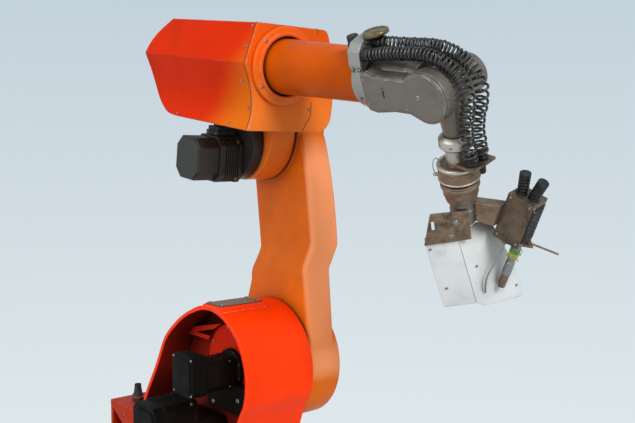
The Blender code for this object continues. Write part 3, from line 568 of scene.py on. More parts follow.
def arc(centre: Pair, radius: float, start: float, end: float, count: int) -> list[Pair]:
    """Points of an arc.

    Args:
        centre: Its centre.
        radius: Its radius.
        start: First angle in degrees.
        end: Last angle in degrees.
        count: Number of points, ends included.

    Returns:
        The points.
    """
    angles = [math.radians(start + (end - start) * i / (count - 1)) for i in range(count)]
    return [(centre[0] + radius * math.cos(a), centre[1] + radius * math.sin(a)) for a in angles]


def corners(half_x: float, half_y: float, cut: float) -> list[Pair]:
    """A rectangle with cut corners.

    Args:
        half_x: Half its width.
        half_y: Half its height.
        cut: Size of the cut.

    Returns:
        Its points.
    """
    return [(half_x, -half_y + cut), (half_x, half_y - cut), (half_x - cut, half_y), (-half_x + cut, half_y),
            (-half_x, half_y - cut), (-half_x, -half_y + cut), (-half_x + cut, -half_y),
            (half_x - cut, -half_y)]


def smooth_path(knots: Sequence[Triple], count: int) -> list[Vector]:
    """Points along a smooth curve through the knots.

    Args:
        knots: The points to pass.
        count: Number of points made.

    Returns:
        The points.
    """
    marks = [Vector(k) for k in knots]
    padded = [marks[0] * 2 - marks[1], *marks, marks[-1] * 2 - marks[-2]]
    spans = len(marks) - 1
    found = []
    for step in range(count):
        at = step / (count - 1) * spans
        span = min(int(at), spans - 1)
        t = at - span
        a, b, c, d = padded[span:span + 4]
        square = (a * 2 - b * 5 + c * 4 - d) * t * t
        cube = (b * 3 - a - c * 3 + d) * t ** 3
        found.append(b + ((c - a) * t + square + cube) * 0.5)
    return found


def even_path(points: Sequence[Vector], count: int) -> list[Vector]:
    """The same line with its points at even distances.

    Args:
        points: The line.
        count: Number of points made.

    Returns:
        The points.
    """
    run = [0.0]
    for a, b in zip(points, points[1:]):
        run.append(run[-1] + (b - a).length)
    found, at = [], 0
    for step in range(count):
        goal = run[-1] * step / (count - 1)
        while at < len(points) - 2 and run[at + 1] < goal:
            at += 1
        share = (goal - run[at]) / max(run[at + 1] - run[at], 1e-9)
        found.append(points[at].lerp(points[at + 1], share))
    return found


def carried_axes(points: Sequence[Vector]) -> list[tuple[Vector, Vector]]:
    """Two side directions at each point of a line, carried along it without twist.

    Args:
        points: The line.

    Returns:
        A pair of directions for each point.
    """
    side = None
    found = []
    for i in range(len(points)):
        ahead = points[min(i + 1, len(points) - 1)] - points[max(i - 1, 0)]
        ahead.normalize()
        if side is None:
            side = ahead.orthogonal().normalized()
        side = (side - ahead * side.dot(ahead)).normalized()
        found.append((side.copy(), ahead.cross(side)))
    return found


class Shape:
    """A mesh that is built up from turned, drawn and swept solids in one joint frame."""

    def __init__(self, at: Matrix) -> None:
        """Starts an empty mesh in a joint frame.

        Args:
            at: The frame.
        """
        self.at = at
        self.work = bmesh.new()
        self.paint = 0

    def using(self, index: int) -> "Shape":
        """Sets which of the piece's finishes the next solids take."""
        self.paint = index
        return self

    def face(self, verts: Sequence[bmesh.types.BMVert]) -> None:
        """Adds one face.

        Args:
            verts: Its corners.
        """
        made = self.work.faces.new(verts)
        made.material_index = self.paint
        made.smooth = True

    def skin(self, rows: Sequence[Sequence[bmesh.types.BMVert]]) -> None:
        """Joins rings of points, one to the next, with four-sided faces.

        Args:
            rows: The rings, each with as many points.
        """
        for low, high in zip(rows, rows[1:]):
            for i in range(len(low)):
                j = (i + 1) % len(low)
                self.face([low[i], low[j], high[j], high[i]])

    def hoop(self, centre: Vector, side: Vector, other: Vector, radius: float,
             steps: int) -> list[bmesh.types.BMVert]:
        """Adds a ring of points.

        Args:
            centre: Its middle.
            side: The direction of its first point.
            other: The direction of its point a quarter turn on.
            radius: Its radius.
            steps: Number of points.

        Returns:
            The points.
        """
        angles = [2 * math.pi * i / steps for i in range(steps)]
        return [self.work.verts.new(centre + (side * math.cos(a) + other * math.sin(a)) * radius)
                for a in angles]

    def corner_screws(self, centre: Pair, half: Pair, place: float, radius: float,
                      height: float = 0.0) -> None:
        """Adds a socket screw at each corner of a rectangle that faces the near side.

        Args:
            centre: The rectangle's middle, x and z.
            half: Half its width and half its height.
            place: Where its face lies on Y.
            radius: The heads' radius.
            height: The heads' height, or 0 for the usual one.
        """
        for z in (-half[1], half[1]):
            for x in (-half[0], half[0]):
                self.screw((centre[0] + x, place, centre[1] + z), NEAR_SIDE, radius, height)

    def turned(self, profile: Sequence[Pair], origin: Triple = ORIGIN, along: Triple = AHEAD,
               steps: int = 64, closed: bool = False) -> "Shape":
        """Turns a profile about an axis.

        Args:
            profile: Rows of radius and height along the axis.
            origin: A point of the axis.
            along: The axis.
            steps: Sides of the turn.
            closed: Whether the profile is a ring's section.

        Returns:
            The shape.
        """
        axis = Vector(along).normalized()
        side = axis.orthogonal().normalized()
        other = axis.cross(side)
        rows = []
        for radius, height in profile:
            centre = Vector(origin) + axis * height
            if radius < 1e-6:
                rows.append([self.work.verts.new(centre)])
            else:
                rows.append(self.hoop(centre, side, other, radius, steps))
        pairs = list(zip(rows, rows[1:])) + ([(rows[-1], rows[0])] if closed else [])
        for low, high in pairs:
            for i in range(steps):
                j = (i + 1) % steps
                ring = [low[i % len(low)], low[j % len(low)], high[j % len(high)], high[i % len(high)]]
                ring = list(dict.fromkeys(ring))
                if len(ring) > 2:
                    self.face(ring)
        return self

    def prism(self, outline: Sequence[Pair], start: float, end: float, axis: str = "Y",
              centre: Pair = (0, 0)) -> "Shape":
        """Carries a flat outline along an axis.

        Args:
            outline: Points (x, z) across Y, (y, z) across X or (x, y) across Z.
            start: First place on the axis.
            end: Last place on it.
            axis: The axis's letter.
            centre: Where the outline's origin lies.

        Returns:
            The shape.
        """
        def spot(point: Pair, t: float) -> Vector:
            """A point of the outline at a place on the axis."""
            a, b = point[0] + centre[0], point[1] + centre[1]
            return Vector({"X": (t, a, b), "Y": (a, t, b), "Z": (a, b, t)}[axis])
        low = [self.work.verts.new(spot(p, start)) for p in outline]
        high = [self.work.verts.new(spot(p, end)) for p in outline]
        self.face(low[::-1])
        self.face(high)
        self.skin([low, high])
        return self

    def block(self, low: Triple, high: Triple) -> "Shape":
        """Adds a box between two corners."""
        outline = [(low[0], low[1]), (high[0], low[1]), (high[0], high[1]), (low[0], high[1])]
        return self.prism(outline, low[2], high[2], "Z")

    def rod(self, points: Sequence[Vector], radius: float, sides: int = 12,
            radii: Optional[Sequence[float]] = None) -> "Shape":
        """Sweeps a round section along points, with closed ends.

        Args:
            points: The line.
            radius: The section's radius.
            sides: Its sides.
            radii: A radius for each point instead.

        Returns:
            The shape.
        """
        points = [Vector(p) for p in points]
        rings = []
        for i, (point, (side, other)) in enumerate(zip(points, carried_axes(points))):
            size = radii[i] if radii else radius
            rings.append(self.hoop(point, side, other, size, sides))
        self.skin(rings)
        self.face(rings[0][::-1])
        self.face(rings[-1])
        return self

    def screw(self, centre: Triple, along: Triple, radius: float, height: float = 0.0) -> "Shape":
        """Adds a socket screw's head.

        Args:
            centre: The middle of its seat.
            along: The way that it faces.
            radius: The head's radius.
            height: The head's height, or 0 for its usual share of the radius.

        Returns:
            The shape.
        """
        h = height or radius * 0.75
        r = radius
        return self.turned([(0, h * 0.35), (r * 0.42, h * 0.35), (r * 0.46, h), (r * 0.86, h), (r, h * 0.80),
                            (r, -0.001), (0, -0.001)], centre, along, 18)

    def washer_screw(self, centre: Triple, along: Triple, radius: float) -> "Shape":
        """Adds a hexagon screw on its washer.

        Args:
            centre: The middle of its seat.
            along: The way that it faces.
            radius: The head's radius.

        Returns:
            The shape.
        """
        r = radius
        self.turned([(0, r * 0.22), (r * 1.45, r * 0.22), (r * 1.55, r * 0.12), (r * 1.55, -0.001),
                     (0, -0.001)], centre, along, 24)
        return self.turned([(0, r * 0.95), (r * 0.78, r * 0.95), (r, r * 0.82), (r, r * 0.18), (0, r * 0.18)],
                           centre, along, 6)

    def object(self, name: str, body: str, finishes: Sequence[Finish], bevel: float = 0.0, segments: int = 2,
               angle: float = 32.0, nodes: Iterable[str] = ()) -> bpy.types.Object:
        """Makes the piece, rides it on its body and gives it its finishes.

        Args:
            name: The piece's name.
            body: The body that carries it.
            finishes: Its finishes, in the order of the face indices.
            bevel: Width of its rounded edges.
            segments: Steps of each rounded edge.
            angle: Edges sharper than this are rounded and stay crisp.
            nodes: Nodes that the piece stands for.

        Returns:
            The piece.
        """
        self.work.transform(self.at)
        bmesh.ops.recalc_face_normals(self.work, faces=self.work.faces)
        mesh = bpy.data.meshes.new(name)
        self.work.to_mesh(mesh)
        self.work.free()
        mesh.set_sharp_from_angle(angle=math.radians(angle))
        piece = bpy.data.objects.new(name, mesh)
        bpy.context.scene.collection.objects.link(piece)
        for finish in finishes:
            mesh.materials.append(finish.material())
        if bevel:
            round_edges(piece, bevel, segments, angle)
        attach(piece, body)
        if nodes:
            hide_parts(*nodes)
        LOG.info("%s rides on %s", name, body)
        return piece


def round_edges(piece: bpy.types.Object, width: float, segments: int = 2, angle: float = 32.0) -> None:
    """Rounds a piece's sharp edges and evens its shading.

    Args:
        piece: The piece.
        width: Width of the rounding.
        segments: Its steps.
        angle: Edges sharper than this, in degrees.
    """
    step = piece.modifiers.new("soft_edges", "BEVEL")
    step.width = width
    step.segments = segments
    step.limit_method = "ANGLE"
    step.angle_limit = math.radians(angle)
    step.harden_normals = True
    step.miter_outer = "MITER_ARC"


def dress(node: str, finish: Finish) -> None:
    """Gives a carried-over solid its finish.

    Args:
        node: The solid's name.
        finish: Its finish.
    """
    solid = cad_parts[node]
    for slot in solid.material_slots:
        slot.material = finish.material()
    LOG.info("%s dressed as %s", node, finish.name)


def finned(shape: Shape, outline: Sequence[Pair], deep: Sequence[Pair], start: float, end: float, count: int,
           axis: str, centre: Pair) -> None:
    """Adds a block with cooling fins across an axis.

    Args:
        shape: The shape to add to.
        outline: The fins' outline.
        deep: The outline between the fins.
        start: First place on the axis.
        end: Last place on it.
        count: Number of fins.
        axis: The axis's letter.
        centre: Where the outlines' origin lies.
    """
    shape.prism(deep, start, end, axis, centre)
    pitch = (end - start) / count
    for i in range(count):
        shape.prism(outline, start + pitch * i, start + pitch * (i + 0.52), axis, centre)


def ring_of(radius: float, count: int, first: float = 0.0, skip: Sequence[int] = ()) -> list[Pair]:
    """Places spread evenly on a circle.

    Args:
        radius: The circle's radius.
        count: Number of places.
        first: Angle of the first, in degrees.
        skip: Indices left out.

    Returns:
        The places.
    """
    found = []
    for i in range(count):
        if i not in skip:
            angle = math.radians(first + 360.0 * i / count)
            found.append((radius * math.cos(angle), radius * math.sin(angle)))
    return found


@dataclass
class Base:
    """Foot plate, pedestal and rear connector box, with their screws and sockets."""

    screw_circle: float = 0.268
    plate_top: float = 0.025
    panel_face: float = -0.335
    sockets: tuple[Pair, ...] = ((-0.062, 0.175), (0.062, 0.175), (0.0, 0.105))

    def build(self) -> None:
        """Dresses the solids and adds the small pieces."""
        for node in ("base_plate", "base_casting", "base_connector_box"):
            dress(node, COLUMN_RED)
        shape = Shape(AT_WORLD)
        for x, y in ring_of(self.screw_circle, 16, 11.25, (7, 8)):
            shape.washer_screw((x, y, self.plate_top), UP, 0.0075)
        shape.object("base_screws", "base", [SCREW_STEEL])
        sockets = Shape(AT_WORLD)
        for y, z in self.sockets:
            sockets.using(0).turned([(0, 0.006), (0.018, 0.006), (0.018, 0.020), (0.022, 0.020),
                                     (0.0235, 0.018), (0.0235, 0.004), (0.028, 0.004), (0.028, -0.001),
                                     (0, -0.001)], (self.panel_face, y, z), BEHIND, 32)
            sockets.using(1).turned([(0, 0.010), (0.015, 0.010), (0.017, 0.006)], (self.panel_face, y, z),
                                    BEHIND, 24)
        for y in (-0.105, 0.105):
            for z in (0.075, 0.225):
                sockets.using(2).screw((self.panel_face, y, z), BEHIND, 0.005)
        sockets.object("base_sockets", "base", [STEEL, BLACK_RUBBER, SCREW_STEEL])


@dataclass
class Column:
    """The turning column: shell, gear disc, motors, top plate, rear box and gland."""

    foot: float = 0.3929
    front: float = -0.090
    back: float = 0.142
    pocket: float = 0.018
    left: tuple[Pair, ...] = ((-0.250, 0.3929), (-0.189, 0.537), (-0.108, 0.665), (-0.052, 0.760),
                              (0.014, 0.818), (0.070, 0.853))
    right: tuple[Pair, ...] = ((0.352, 0.585), (0.318, 0.500), (0.262, 0.3929))
    disc_face: float = -0.0044
    disc_circle: float = 0.119
    motor_near: float = -0.0252
    seat_face: float = -0.075

    def build(self) -> None:
        """Dresses the solids and adds the motors, screws and gland."""
        dress("turntable", COLUMN_RED)
        # The rib takes the darker disc red: painted shade.
        dress("column_rib", SHADED_DISC_RED)
        # The rear box takes the darker box red: painted shade.
        dress("rear_box", SHADED_BOX_RED)
        dress("column_top_plate", TOP_PLATE)
        # The motor seat and motor ring take the near-black bay finish: painted shade.
        dress("column_motor_seat", SHADED_BAY_MOTOR)
        dress("shoulder_motor_ring", SHADED_BAY_MOTOR)
        self.shell()
        self.gear_disc()
        self.screws()
        self.shoulder_motor()
        self.column_motor()
        self.gland()

    def arch(self, inset: float) -> list[Pair]:
        """The arch seen from its open side, moved in by the inset.

        Args:
            inset: How far in.

        Returns:
            Its points, x and z.
        """
        foot = self.foot + inset
        left = [(x + inset * 0.87, z - inset * 0.5) for x, z in self.left]
        left[0] = (left[0][0], foot)
        top = arc(SHOULDER_SPOT, 0.193 - inset, 112, -20, 60)
        right = [(x - inset, z) for x, z in self.right]
        right[-1] = (right[-1][0], foot)
        rise = smooth_path([(x, 0, z) for x, z in [*left, top[0]]], 48)
        fall = smooth_path([(x, 0, z) for x, z in [top[-1], *right]], 20)
        return [(p.x, p.z) for p in rise[:-1]] + top + [(p.x, p.z) for p in fall[1:]]

    def shell(self) -> None:
        """The arched shell with its pocket, raised pad and shoulder boss."""
        shape = Shape(AT_WORLD)
        rings = []
        for inset, y in ((0.0, self.back), (0.0, self.front), (0.013, self.front), (0.013, self.pocket)):
            rings.append([shape.work.verts.new((x, y, z)) for x, z in self.arch(inset)])
        # The pocket's walls and floor take the darker bay red: painted shade.
        for index, pair in enumerate(zip(rings, rings[1:])):
            shape.using(1 if index == 2 else 0).skin(pair)
        shape.using(0).face(rings[0])
        shape.using(1).face(rings[-1])
        pad = [(0.265, 0.8965), (0.172, 0.8965), *arc(SHOULDER_SPOT, 0.187, 98.6, 69.66, 8)]
        shape.using(0).prism(pad, -0.0895, 0.070, "Y")
        shape.turned([(0, 0.1469), (0.110, 0.1469), (0.110, 0.1300), (0, 0.1300)], SHOULDER_AT, FAR_SIDE, 72)
        shape.object("column_arch", "column", [COLUMN_RED, SHADED_BAY_RED], 0.0035, 3, nodes=["column_shell"])

    def gear_disc(self) -> None:
        """The round cover on the shoulder gearbox, with its slot."""
        shape = Shape(AT_WORLD)
        f = self.disc_face
        shape.using(0).turned([(0, -f), (0.126, -f), (0.1305, -f - 0.0010), (0.132, -f - 0.0030),
                               (0.132, -0.0172), (0, -0.0172)], SHOULDER_AT, NEAR_SIDE, 96)
        slot = arc((0.2125, 0.788), 0.0075, 180, 360, 10) + arc((0.2125, 0.802), 0.0075, 0, 180, 10)
        shape.using(1).prism(slot, f - 0.0004, f + 0.0010, "Y")
        # The disc takes the darker disc red: painted shade.
        shape.object("gear_disc_slotted", "column", [SHADED_DISC_RED, BLACK_RUBBER], nodes=["shoulder_gear_disc"])

    def screws(self) -> None:
        """Screws of the turntable, gear disc, motor ring, top plate and rear box."""
        shape = Shape(AT_WORLD)
        for x, y in ring_of(0.252, 24, 7.5):
            if y < -0.105 or y > 0.155 or x > 0.275:
                shape.screw((x, y, 0.3925), UP, 0.0065)
        for x, z in ring_of(self.disc_circle, 8, 12.0):
            shape.screw((SHOULDER_SPOT[0] + x, self.disc_face, SHOULDER_SPOT[1] + z), NEAR_SIDE, 0.0042)
        for x, z in ring_of(0.052, 8, 22.5):
            shape.screw((SHOULDER_SPOT[0] + x, -0.0165, SHOULDER_SPOT[1] + z), NEAR_SIDE, 0.0034)
        for x in (0.187, 0.249):
            for y in (-0.074, 0.053):
                shape.screw((x, y, 0.9000), UP, 0.0045)
        for x, z in ((-0.398, 0.3625), (-0.300, 0.3625), (-0.399, 0.475), (-0.305, 0.455)):
            shape.screw((x, -0.100, z), NEAR_SIDE, 0.0042)
        for x, z in ((-0.026, 0.418), (0.126, 0.418), (-0.026, 0.522), (0.126, 0.522)):
            shape.washer_screw((x, self.seat_face, z), NEAR_SIDE, 0.0050)
        shape.object("column_screws", "column", [SCREW_STEEL])

    def shoulder_motor(self) -> None:
        """The square motor on the gear disc, with fins, an encoder end and a plug."""
        shape = Shape(AT_WORLD)
        near, end = self.motor_near, self.motor_near - 0.105
        centre, encoder = (0.20, 0.696), (0.20, 0.706)
        shape.using(0).prism(corners(0.046, 0.046, 0.012), near - 0.016, near, "Y", centre)
        finned(shape, corners(0.0455, 0.0455, 0.014), corners(0.0425, 0.0425, 0.016), end, near - 0.016, 9,
               "Y", centre)
        shape.prism(corners(0.054, 0.058, 0.012), end - 0.046, end + 0.002, "Y", encoder)
        shape.prism(corners(0.042, 0.046, 0.010), end - 0.050, end - 0.044, "Y", encoder)
        plate = [(0.115, 0.574), (0.285, 0.574), (0.302, 0.592), (0.302, 0.650), (0.290, 0.662),
                 (0.112, 0.662), (0.098, 0.648), (0.098, 0.592)]
        shape.prism(plate, self.disc_face - 0.026, self.disc_face - 0.0002, "Y")
        for x, z in ((0.2585, 0.6187), (0.118, 0.6300), (0.130, 0.5880)):
            shape.using(1).washer_screw((x, self.disc_face - 0.026, z), NEAR_SIDE, 0.0048)
        shape.using(1).corner_screws(centre, (0.036, 0.036), near - 0.016, 0.0042)
        shape.corner_screws(encoder, (0.046, 0.050), end - 0.046, 0.0034, 0.0018)
        # The motor takes the near-black bay finish: painted shade.
        shape.object("shoulder_motor_body", "column", [SHADED_BAY_MOTOR, SCREW_STEEL], 0.0012,
                     nodes=["shoulder_motor"])

    def column_motor(self) -> None:
        """The motor that turns the column, with fins along its length."""
        shape = Shape(AT_WORLD)
        near = -0.0754
        centre = (0.050, 0.524)
        shape.using(0).prism(corners(0.072, 0.074, 0.014), near - 0.018, near, "Y", centre)
        finned(shape, corners(0.070, 0.072, 0.018), corners(0.066, 0.068, 0.020), -0.182, near - 0.018, 10,
               "Y", centre)
        shape.prism(corners(0.068, 0.070, 0.020), -0.217, -0.181, "Y", centre)
        shape.prism(corners(0.052, 0.054, 0.014), -0.222, -0.216, "Y", centre)
        shape.using(1).corner_screws(centre, (0.060, 0.062), near - 0.018, 0.0050)
        # The motor takes the near-black bay finish: painted shade.
        shape.object("column_motor_body", "column", [SHADED_BAY_MOTOR, SCREW_STEEL], 0.0012, nodes=["column_motor"])

    def gland(self) -> None:
        """The cable gland on the rear box, with its coloured ring."""
        at = (-0.332, -0.035, 0.0)
        shape = Shape(AT_WORLD)
        shape.using(0).turned([(0, 0.4975), (0.0185, 0.4975), (0.0200, 0.4955), (0.0200, 0.4849),
                               (0, 0.4849)], at, UP, 6)
        shape.using(1).turned([(0, 0.5045), (0.0155, 0.5045), (0.0165, 0.5030), (0.0165, 0.4970),
                               (0, 0.4970)], at, UP, 32)
        shape.using(0).turned([(0.0078, 0.5300), (0.0085, 0.5425), (0.0105, 0.5425), (0.0115, 0.5410),
                               (0.0118, 0.5270), (0.0132, 0.5235), (0.0140, 0.5140), (0.0180, 0.5075),
                               (0.0180, 0.5040), (0, 0.5040)], at, UP, 32)
        shape.turned([(0, 0.5300), (0.0080, 0.5300)], at, UP, 24)
        shape.object("rear_gland_body", "column", [BLACK_RUBBER, GLAND_RED], nodes=["rear_gland"])


@dataclass
class Link:
    """The tall link arm, lofted with rounded edges, and its two bolted caps."""

    length: float = LINK_LENGTH
    corner: float = 0.016
    front: tuple[Pair, ...] = ((0.166, -0.02), (0.172, 0.040), (0.176, 0.140), (0.180, 0.230), (0.184, 0.320),
                               (0.187, 0.400), (0.1865, 0.480), (0.180, 0.570), (0.166, 0.665),
                               (0.140, 0.70576))
    rear: tuple[Pair, ...] = ((-0.165, -0.02), (-0.170, 0.030), (-0.160, 0.100), (-0.127, 0.190),
                              (-0.098, 0.245), (-0.089, 0.330), (-0.088, 0.440), (-0.088, 0.560),
                              (-0.098, 0.610), (-0.120, 0.70576))
    near: tuple[Pair, ...] = ((0.1485, -0.02), (0.1485, 0.275), (0.188, 0.345), (0.188, 0.70576))
    far: tuple[Pair, ...] = ((0.249, -0.02), (0.249, 0.265), (0.289, 0.335), (0.289, 0.70576))

    @staticmethod
    def at_height(line: Sequence[Pair], z: float) -> float:
        """The value of a (value, height) line at a height.

        Args:
            line: The line.
            z: The height.

        Returns:
            The value.
        """
        for (a, low), (b, high) in zip(line, line[1:]):
            if z <= high:
                share = (z - low) / (high - low)
                return a + (b - a) * share
        return line[-1][0]

    def build(self) -> None:
        """Makes the beam with its hub and head, and the caps with their bolts."""
        shape = Shape(AT_LINK)
        self.beam(shape)
        shape.turned([(0, 0.262), (0.170, 0.262), (0.1745, 0.2595), (0.176, 0.255), (0.176, 0.1515),
                      (0.1735, 0.1475), (0, 0.1475)], ORIGIN, FAR_SIDE, 96)
        shape.turned([(0, 0.290), (0.153, 0.290), (0.158, 0.2875), (0.160, 0.282), (0.160, 0.191),
                      (0.1575, 0.187), (0, 0.187)], (0, 0, self.length), FAR_SIDE, 96)
        shape.object("link_beam", "link", [LINK_ORANGE], nodes=["link_arm"])
        self.cap("link_hub_cover", 0.2624, 0.276, 0.120, 0.0, "link_hub_cap")
        self.cap("link_head_cover", 0.2904, 0.304, 0.112, self.length, "link_head_cap")

    def beam(self, shape: Shape) -> None:
        """Lofts the beam through rounded sections.

        Args:
            shape: The shape to add to.
        """
        heights = [-0.01 + (self.length + 0.01) * i / 44 for i in range(45)]
        rows = []
        for z in heights:
            x0, x1 = self.at_height(self.rear, z), self.at_height(self.front, z)
            y0, y1 = self.at_height(self.near, z), self.at_height(self.far, z)
            r = self.corner
            ring = []
            for cx, cy, start in ((x1 - r, y0 + r, -90), (x1 - r, y1 - r, 0), (x0 + r, y1 - r, 90),
                                  (x0 + r, y0 + r, 180)):
                ring += arc((cx, cy), r, start, start + 90, 6)
            rows.append([shape.work.verts.new((x, y, z)) for x, y in ring])
        shape.skin(rows)
        shape.face(rows[0][::-1])
        shape.face(rows[-1])

    def cap(self, name: str, start: float, end: float, radius: float, height: float, node: str) -> None:
        """Adds a round cap with a raised rim and a circle of bolts.

        Args:
            name: The piece's name.
            start: Where its back lies on Y.
            end: Where its face lies on Y.
            radius: Its radius.
            height: Its axis's height on the link.
            node: The solid that it stands for.
        """
        shape = Shape(AT_LINK)
        shape.using(0).turned([(0, end - 0.004), (radius - 0.034, end - 0.004), (radius - 0.031, end - 0.001),
                               (radius - 0.029, end), (radius - 0.002, end), (radius, end - 0.002),
                               (radius, start), (0, start)], (0, 0, height), FAR_SIDE, 72)
        shape.turned([(0, end), (0.022, end), (0.024, end - 0.002), (0.024, end - 0.0045)], (0, 0, height),
                     FAR_SIDE, 36)
        for x, z in ring_of(radius - 0.015, 10, 18.0):
            shape.using(1).screw((x, end - 0.006, height + z), FAR_SIDE, 0.0062, 0.0058)
        shape.object(name, "link", [LINK_ORANGE, SCREW_STEEL], nodes=[node])


def carve(piece: bpy.types.Object, cutter: Shape) -> None:
    """Cuts a solid out of a piece's mesh.

    Args:
        piece: The piece.
        cutter: The solid.
    """
    cutter.work.transform(cutter.at)
    bmesh.ops.recalc_face_normals(cutter.work, faces=cutter.work.faces)
    mesh = bpy.data.meshes.new("cutter")
    cutter.work.to_mesh(mesh)
    cutter.work.free()
    tool = bpy.data.objects.new("cutter", mesh)
    bpy.context.scene.collection.objects.link(tool)
    step = piece.modifiers.new("carve", "BOOLEAN")
    step.operation = "DIFFERENCE"
    step.object = tool
    step.solver = "EXACT"
    bpy.context.view_layer.update()
    result = bpy.data.meshes.new_from_object(piece.evaluated_get(bpy.context.evaluated_depsgraph_get()))
    piece.modifiers.remove(step)
    piece.data = result
    bpy.data.objects.remove(tool)


@dataclass
class Elbow:
    """The elbow housing with its cover, stepped ring, seams and motor."""

    seam: float = 0.296
    face: float = HOUSE_FRONT
    rise: float = FOREARM_RISE
    low: float = 0.030
    high: float = 0.309
    wall: float = 0.004
    near_side: tuple[Pair, ...] = ((-0.100, 0.030), (-0.091, 0.060), (-0.088, 0.090), (-0.0925, 0.125),
                                   (-0.103, 0.160), (-0.122, 0.2033))
    far_side: tuple[Pair, ...] = ((0.150, 0.030), (0.170, 0.046), (0.181, 0.075), (0.181, 0.130),
                                  (0.172, 0.204), (0.148, 0.290), (0.132, 0.309))
    back_low: tuple[Pair, ...] = ((-0.036, 0.030), (-0.098, 0.033), (-0.142, 0.047), (-0.186, 0.076),
                                  (-0.212, 0.118), (-0.223, 0.165), (-0.226, 0.2033))
    back_high: tuple[Pair, ...] = ((-0.226, 0.2033), (-0.214, 0.232), (-0.190, 0.261), (-0.160, 0.284),
                                   (-0.122, 0.309))
    cover_screws: tuple[Pair, ...] = ((0.285, 0.300), (0.282, 0.247), (0.268, 0.158), (0.286, 0.090))

    def build(self) -> None:
        """Makes the housing, cover, ring, seams, screws and motor."""
        dress("elbow_motor_flange", MOTOR_GREY)
        self.casting()
        self.cover()
        self.ring()
        self.seams()
        self.motor()

    @staticmethod
    def value(line: Sequence[Pair], n: float) -> float:
        """The value of a smooth (value, height) line at a height.

        Args:
            line: The line.
            n: The height.

        Returns:
            The value.
        """
        path = smooth_path([(v, 0, h) for v, h in line], 60)
        for a, b in zip(path, path[1:]):
            if n <= b.z:
                return a.x + (b.x - a.x) * (n - a.z) / max(b.z - a.z, 1e-9)
        return path[-1].x

    def near(self, n: float) -> float:
        """Y of the flank on the camera's side at a height.

        Args:
            n: The height.

        Returns:
            Its place on Y.
        """
        if n <= self.rise:
            return self.value(self.near_side, n)
        return -0.122 + 0.0295 * (n - self.rise) / (self.high - self.rise)

    def far(self, n: float) -> float:
        """Y of the other flank at a height."""
        return self.value(self.far_side, n)

    def section(self) -> list[Pair]:
        """The housing's outline across the arm.

        Returns:
            Its points, y and z.
        """
        heights = [self.low + (self.rise - self.low) * i / 14 for i in range(15)] + [self.high]
        far_heights = [self.low + (self.high - self.low) * i / 40 for i in range(41)]
        return [(self.near(n), n) for n in heights] + [(self.far(n), n) for n in reversed(far_heights)]

    def casting(self) -> None:
        """The housing's front plate, drum, floor and inner spine."""
        shape = Shape(AT_ELBOW)
        shape.prism(self.section(), self.seam + 0.0004, self.face, "X")
        shape.block((-0.060, -0.080, 0.060), (self.seam + 0.004, 0.110, 0.270))
        shape.block((-0.030, -0.088, self.low + 0.0002), (self.seam + 0.004, 0.135, 0.066))
        shape.turned([(0, 0.1815), (0.1495, 0.1815), (0.1520, 0.1795), (0.1520, 0.1005), (0.1495, 0.0980),
                      (0, 0.0980)], ORIGIN, FAR_SIDE, 96)
        shape.block((-0.025, 0.099, 0.0), (0.120, 0.130, 0.050))
        shape.turned([(0, 0.1864), (0.105, 0.1864), (0.105, 0.1700), (0, 0.1700)], ORIGIN, FAR_SIDE, 64)
        shape.turned([(0, 0.3099), (0.048, 0.3099), (0.048, 0.2950), (0, 0.2950)], (0, 0, self.rise),
                     AHEAD, 48)
        shape.object("elbow_housing", "elbow", [ARM_ORANGE], nodes=["elbow_casting"])

    def cover(self) -> None:
        """The sheet cover over the motors, as a thin shell with a creased flank."""
        shape = Shape(AT_ELBOW)
        profile = smooth_path([(u, 0, n) for u, n in self.back_low], 34)
        profile += smooth_path([(u, 0, n) for u, n in self.back_high], 24)[1:]
        skins = []
        for t in (0.0, self.wall):
            rows = []
            for point in profile:
                n = self.low + (point.z - self.low) * (self.high - t - self.low) / (self.high - self.low)
                left, right, rear = self.near(n) + t, self.far(n) - t, point.x + t
                rows.append([shape.work.verts.new((u, y, n)) for u, y in
                             ((self.seam, left), (rear, left), (rear, right), (self.seam, right))])
            skins.append(rows)
        for rows in skins:
            for a, b in zip(rows, rows[1:]):
                for k in range(3):
                    shape.face([a[k], b[k], b[k + 1], a[k + 1]])
            shape.face(rows[-1])
        outer, inner = skins
        for k in (0, 3):
            for i in range(len(outer) - 1):
                shape.face([outer[i][k], outer[i + 1][k], inner[i + 1][k], inner[i][k]])
        shape.face([outer[-1][0], outer[-1][3], inner[-1][3], inner[-1][0]])
        for k in range(3):
            shape.face([outer[0][k], outer[0][k + 1], inner[0][k + 1], inner[0][k]])
        piece = shape.object("rear_cover_skin", "elbow", [COVER_RED], nodes=["rear_cover"])
        cutter = Shape(AT_ELBOW)
        cutter.turned([(0, 0.300), (0.154, 0.300), (0.154, 0.094), (0, 0.094)], ORIGIN, FAR_SIDE, 96)
        carve(piece, cutter)

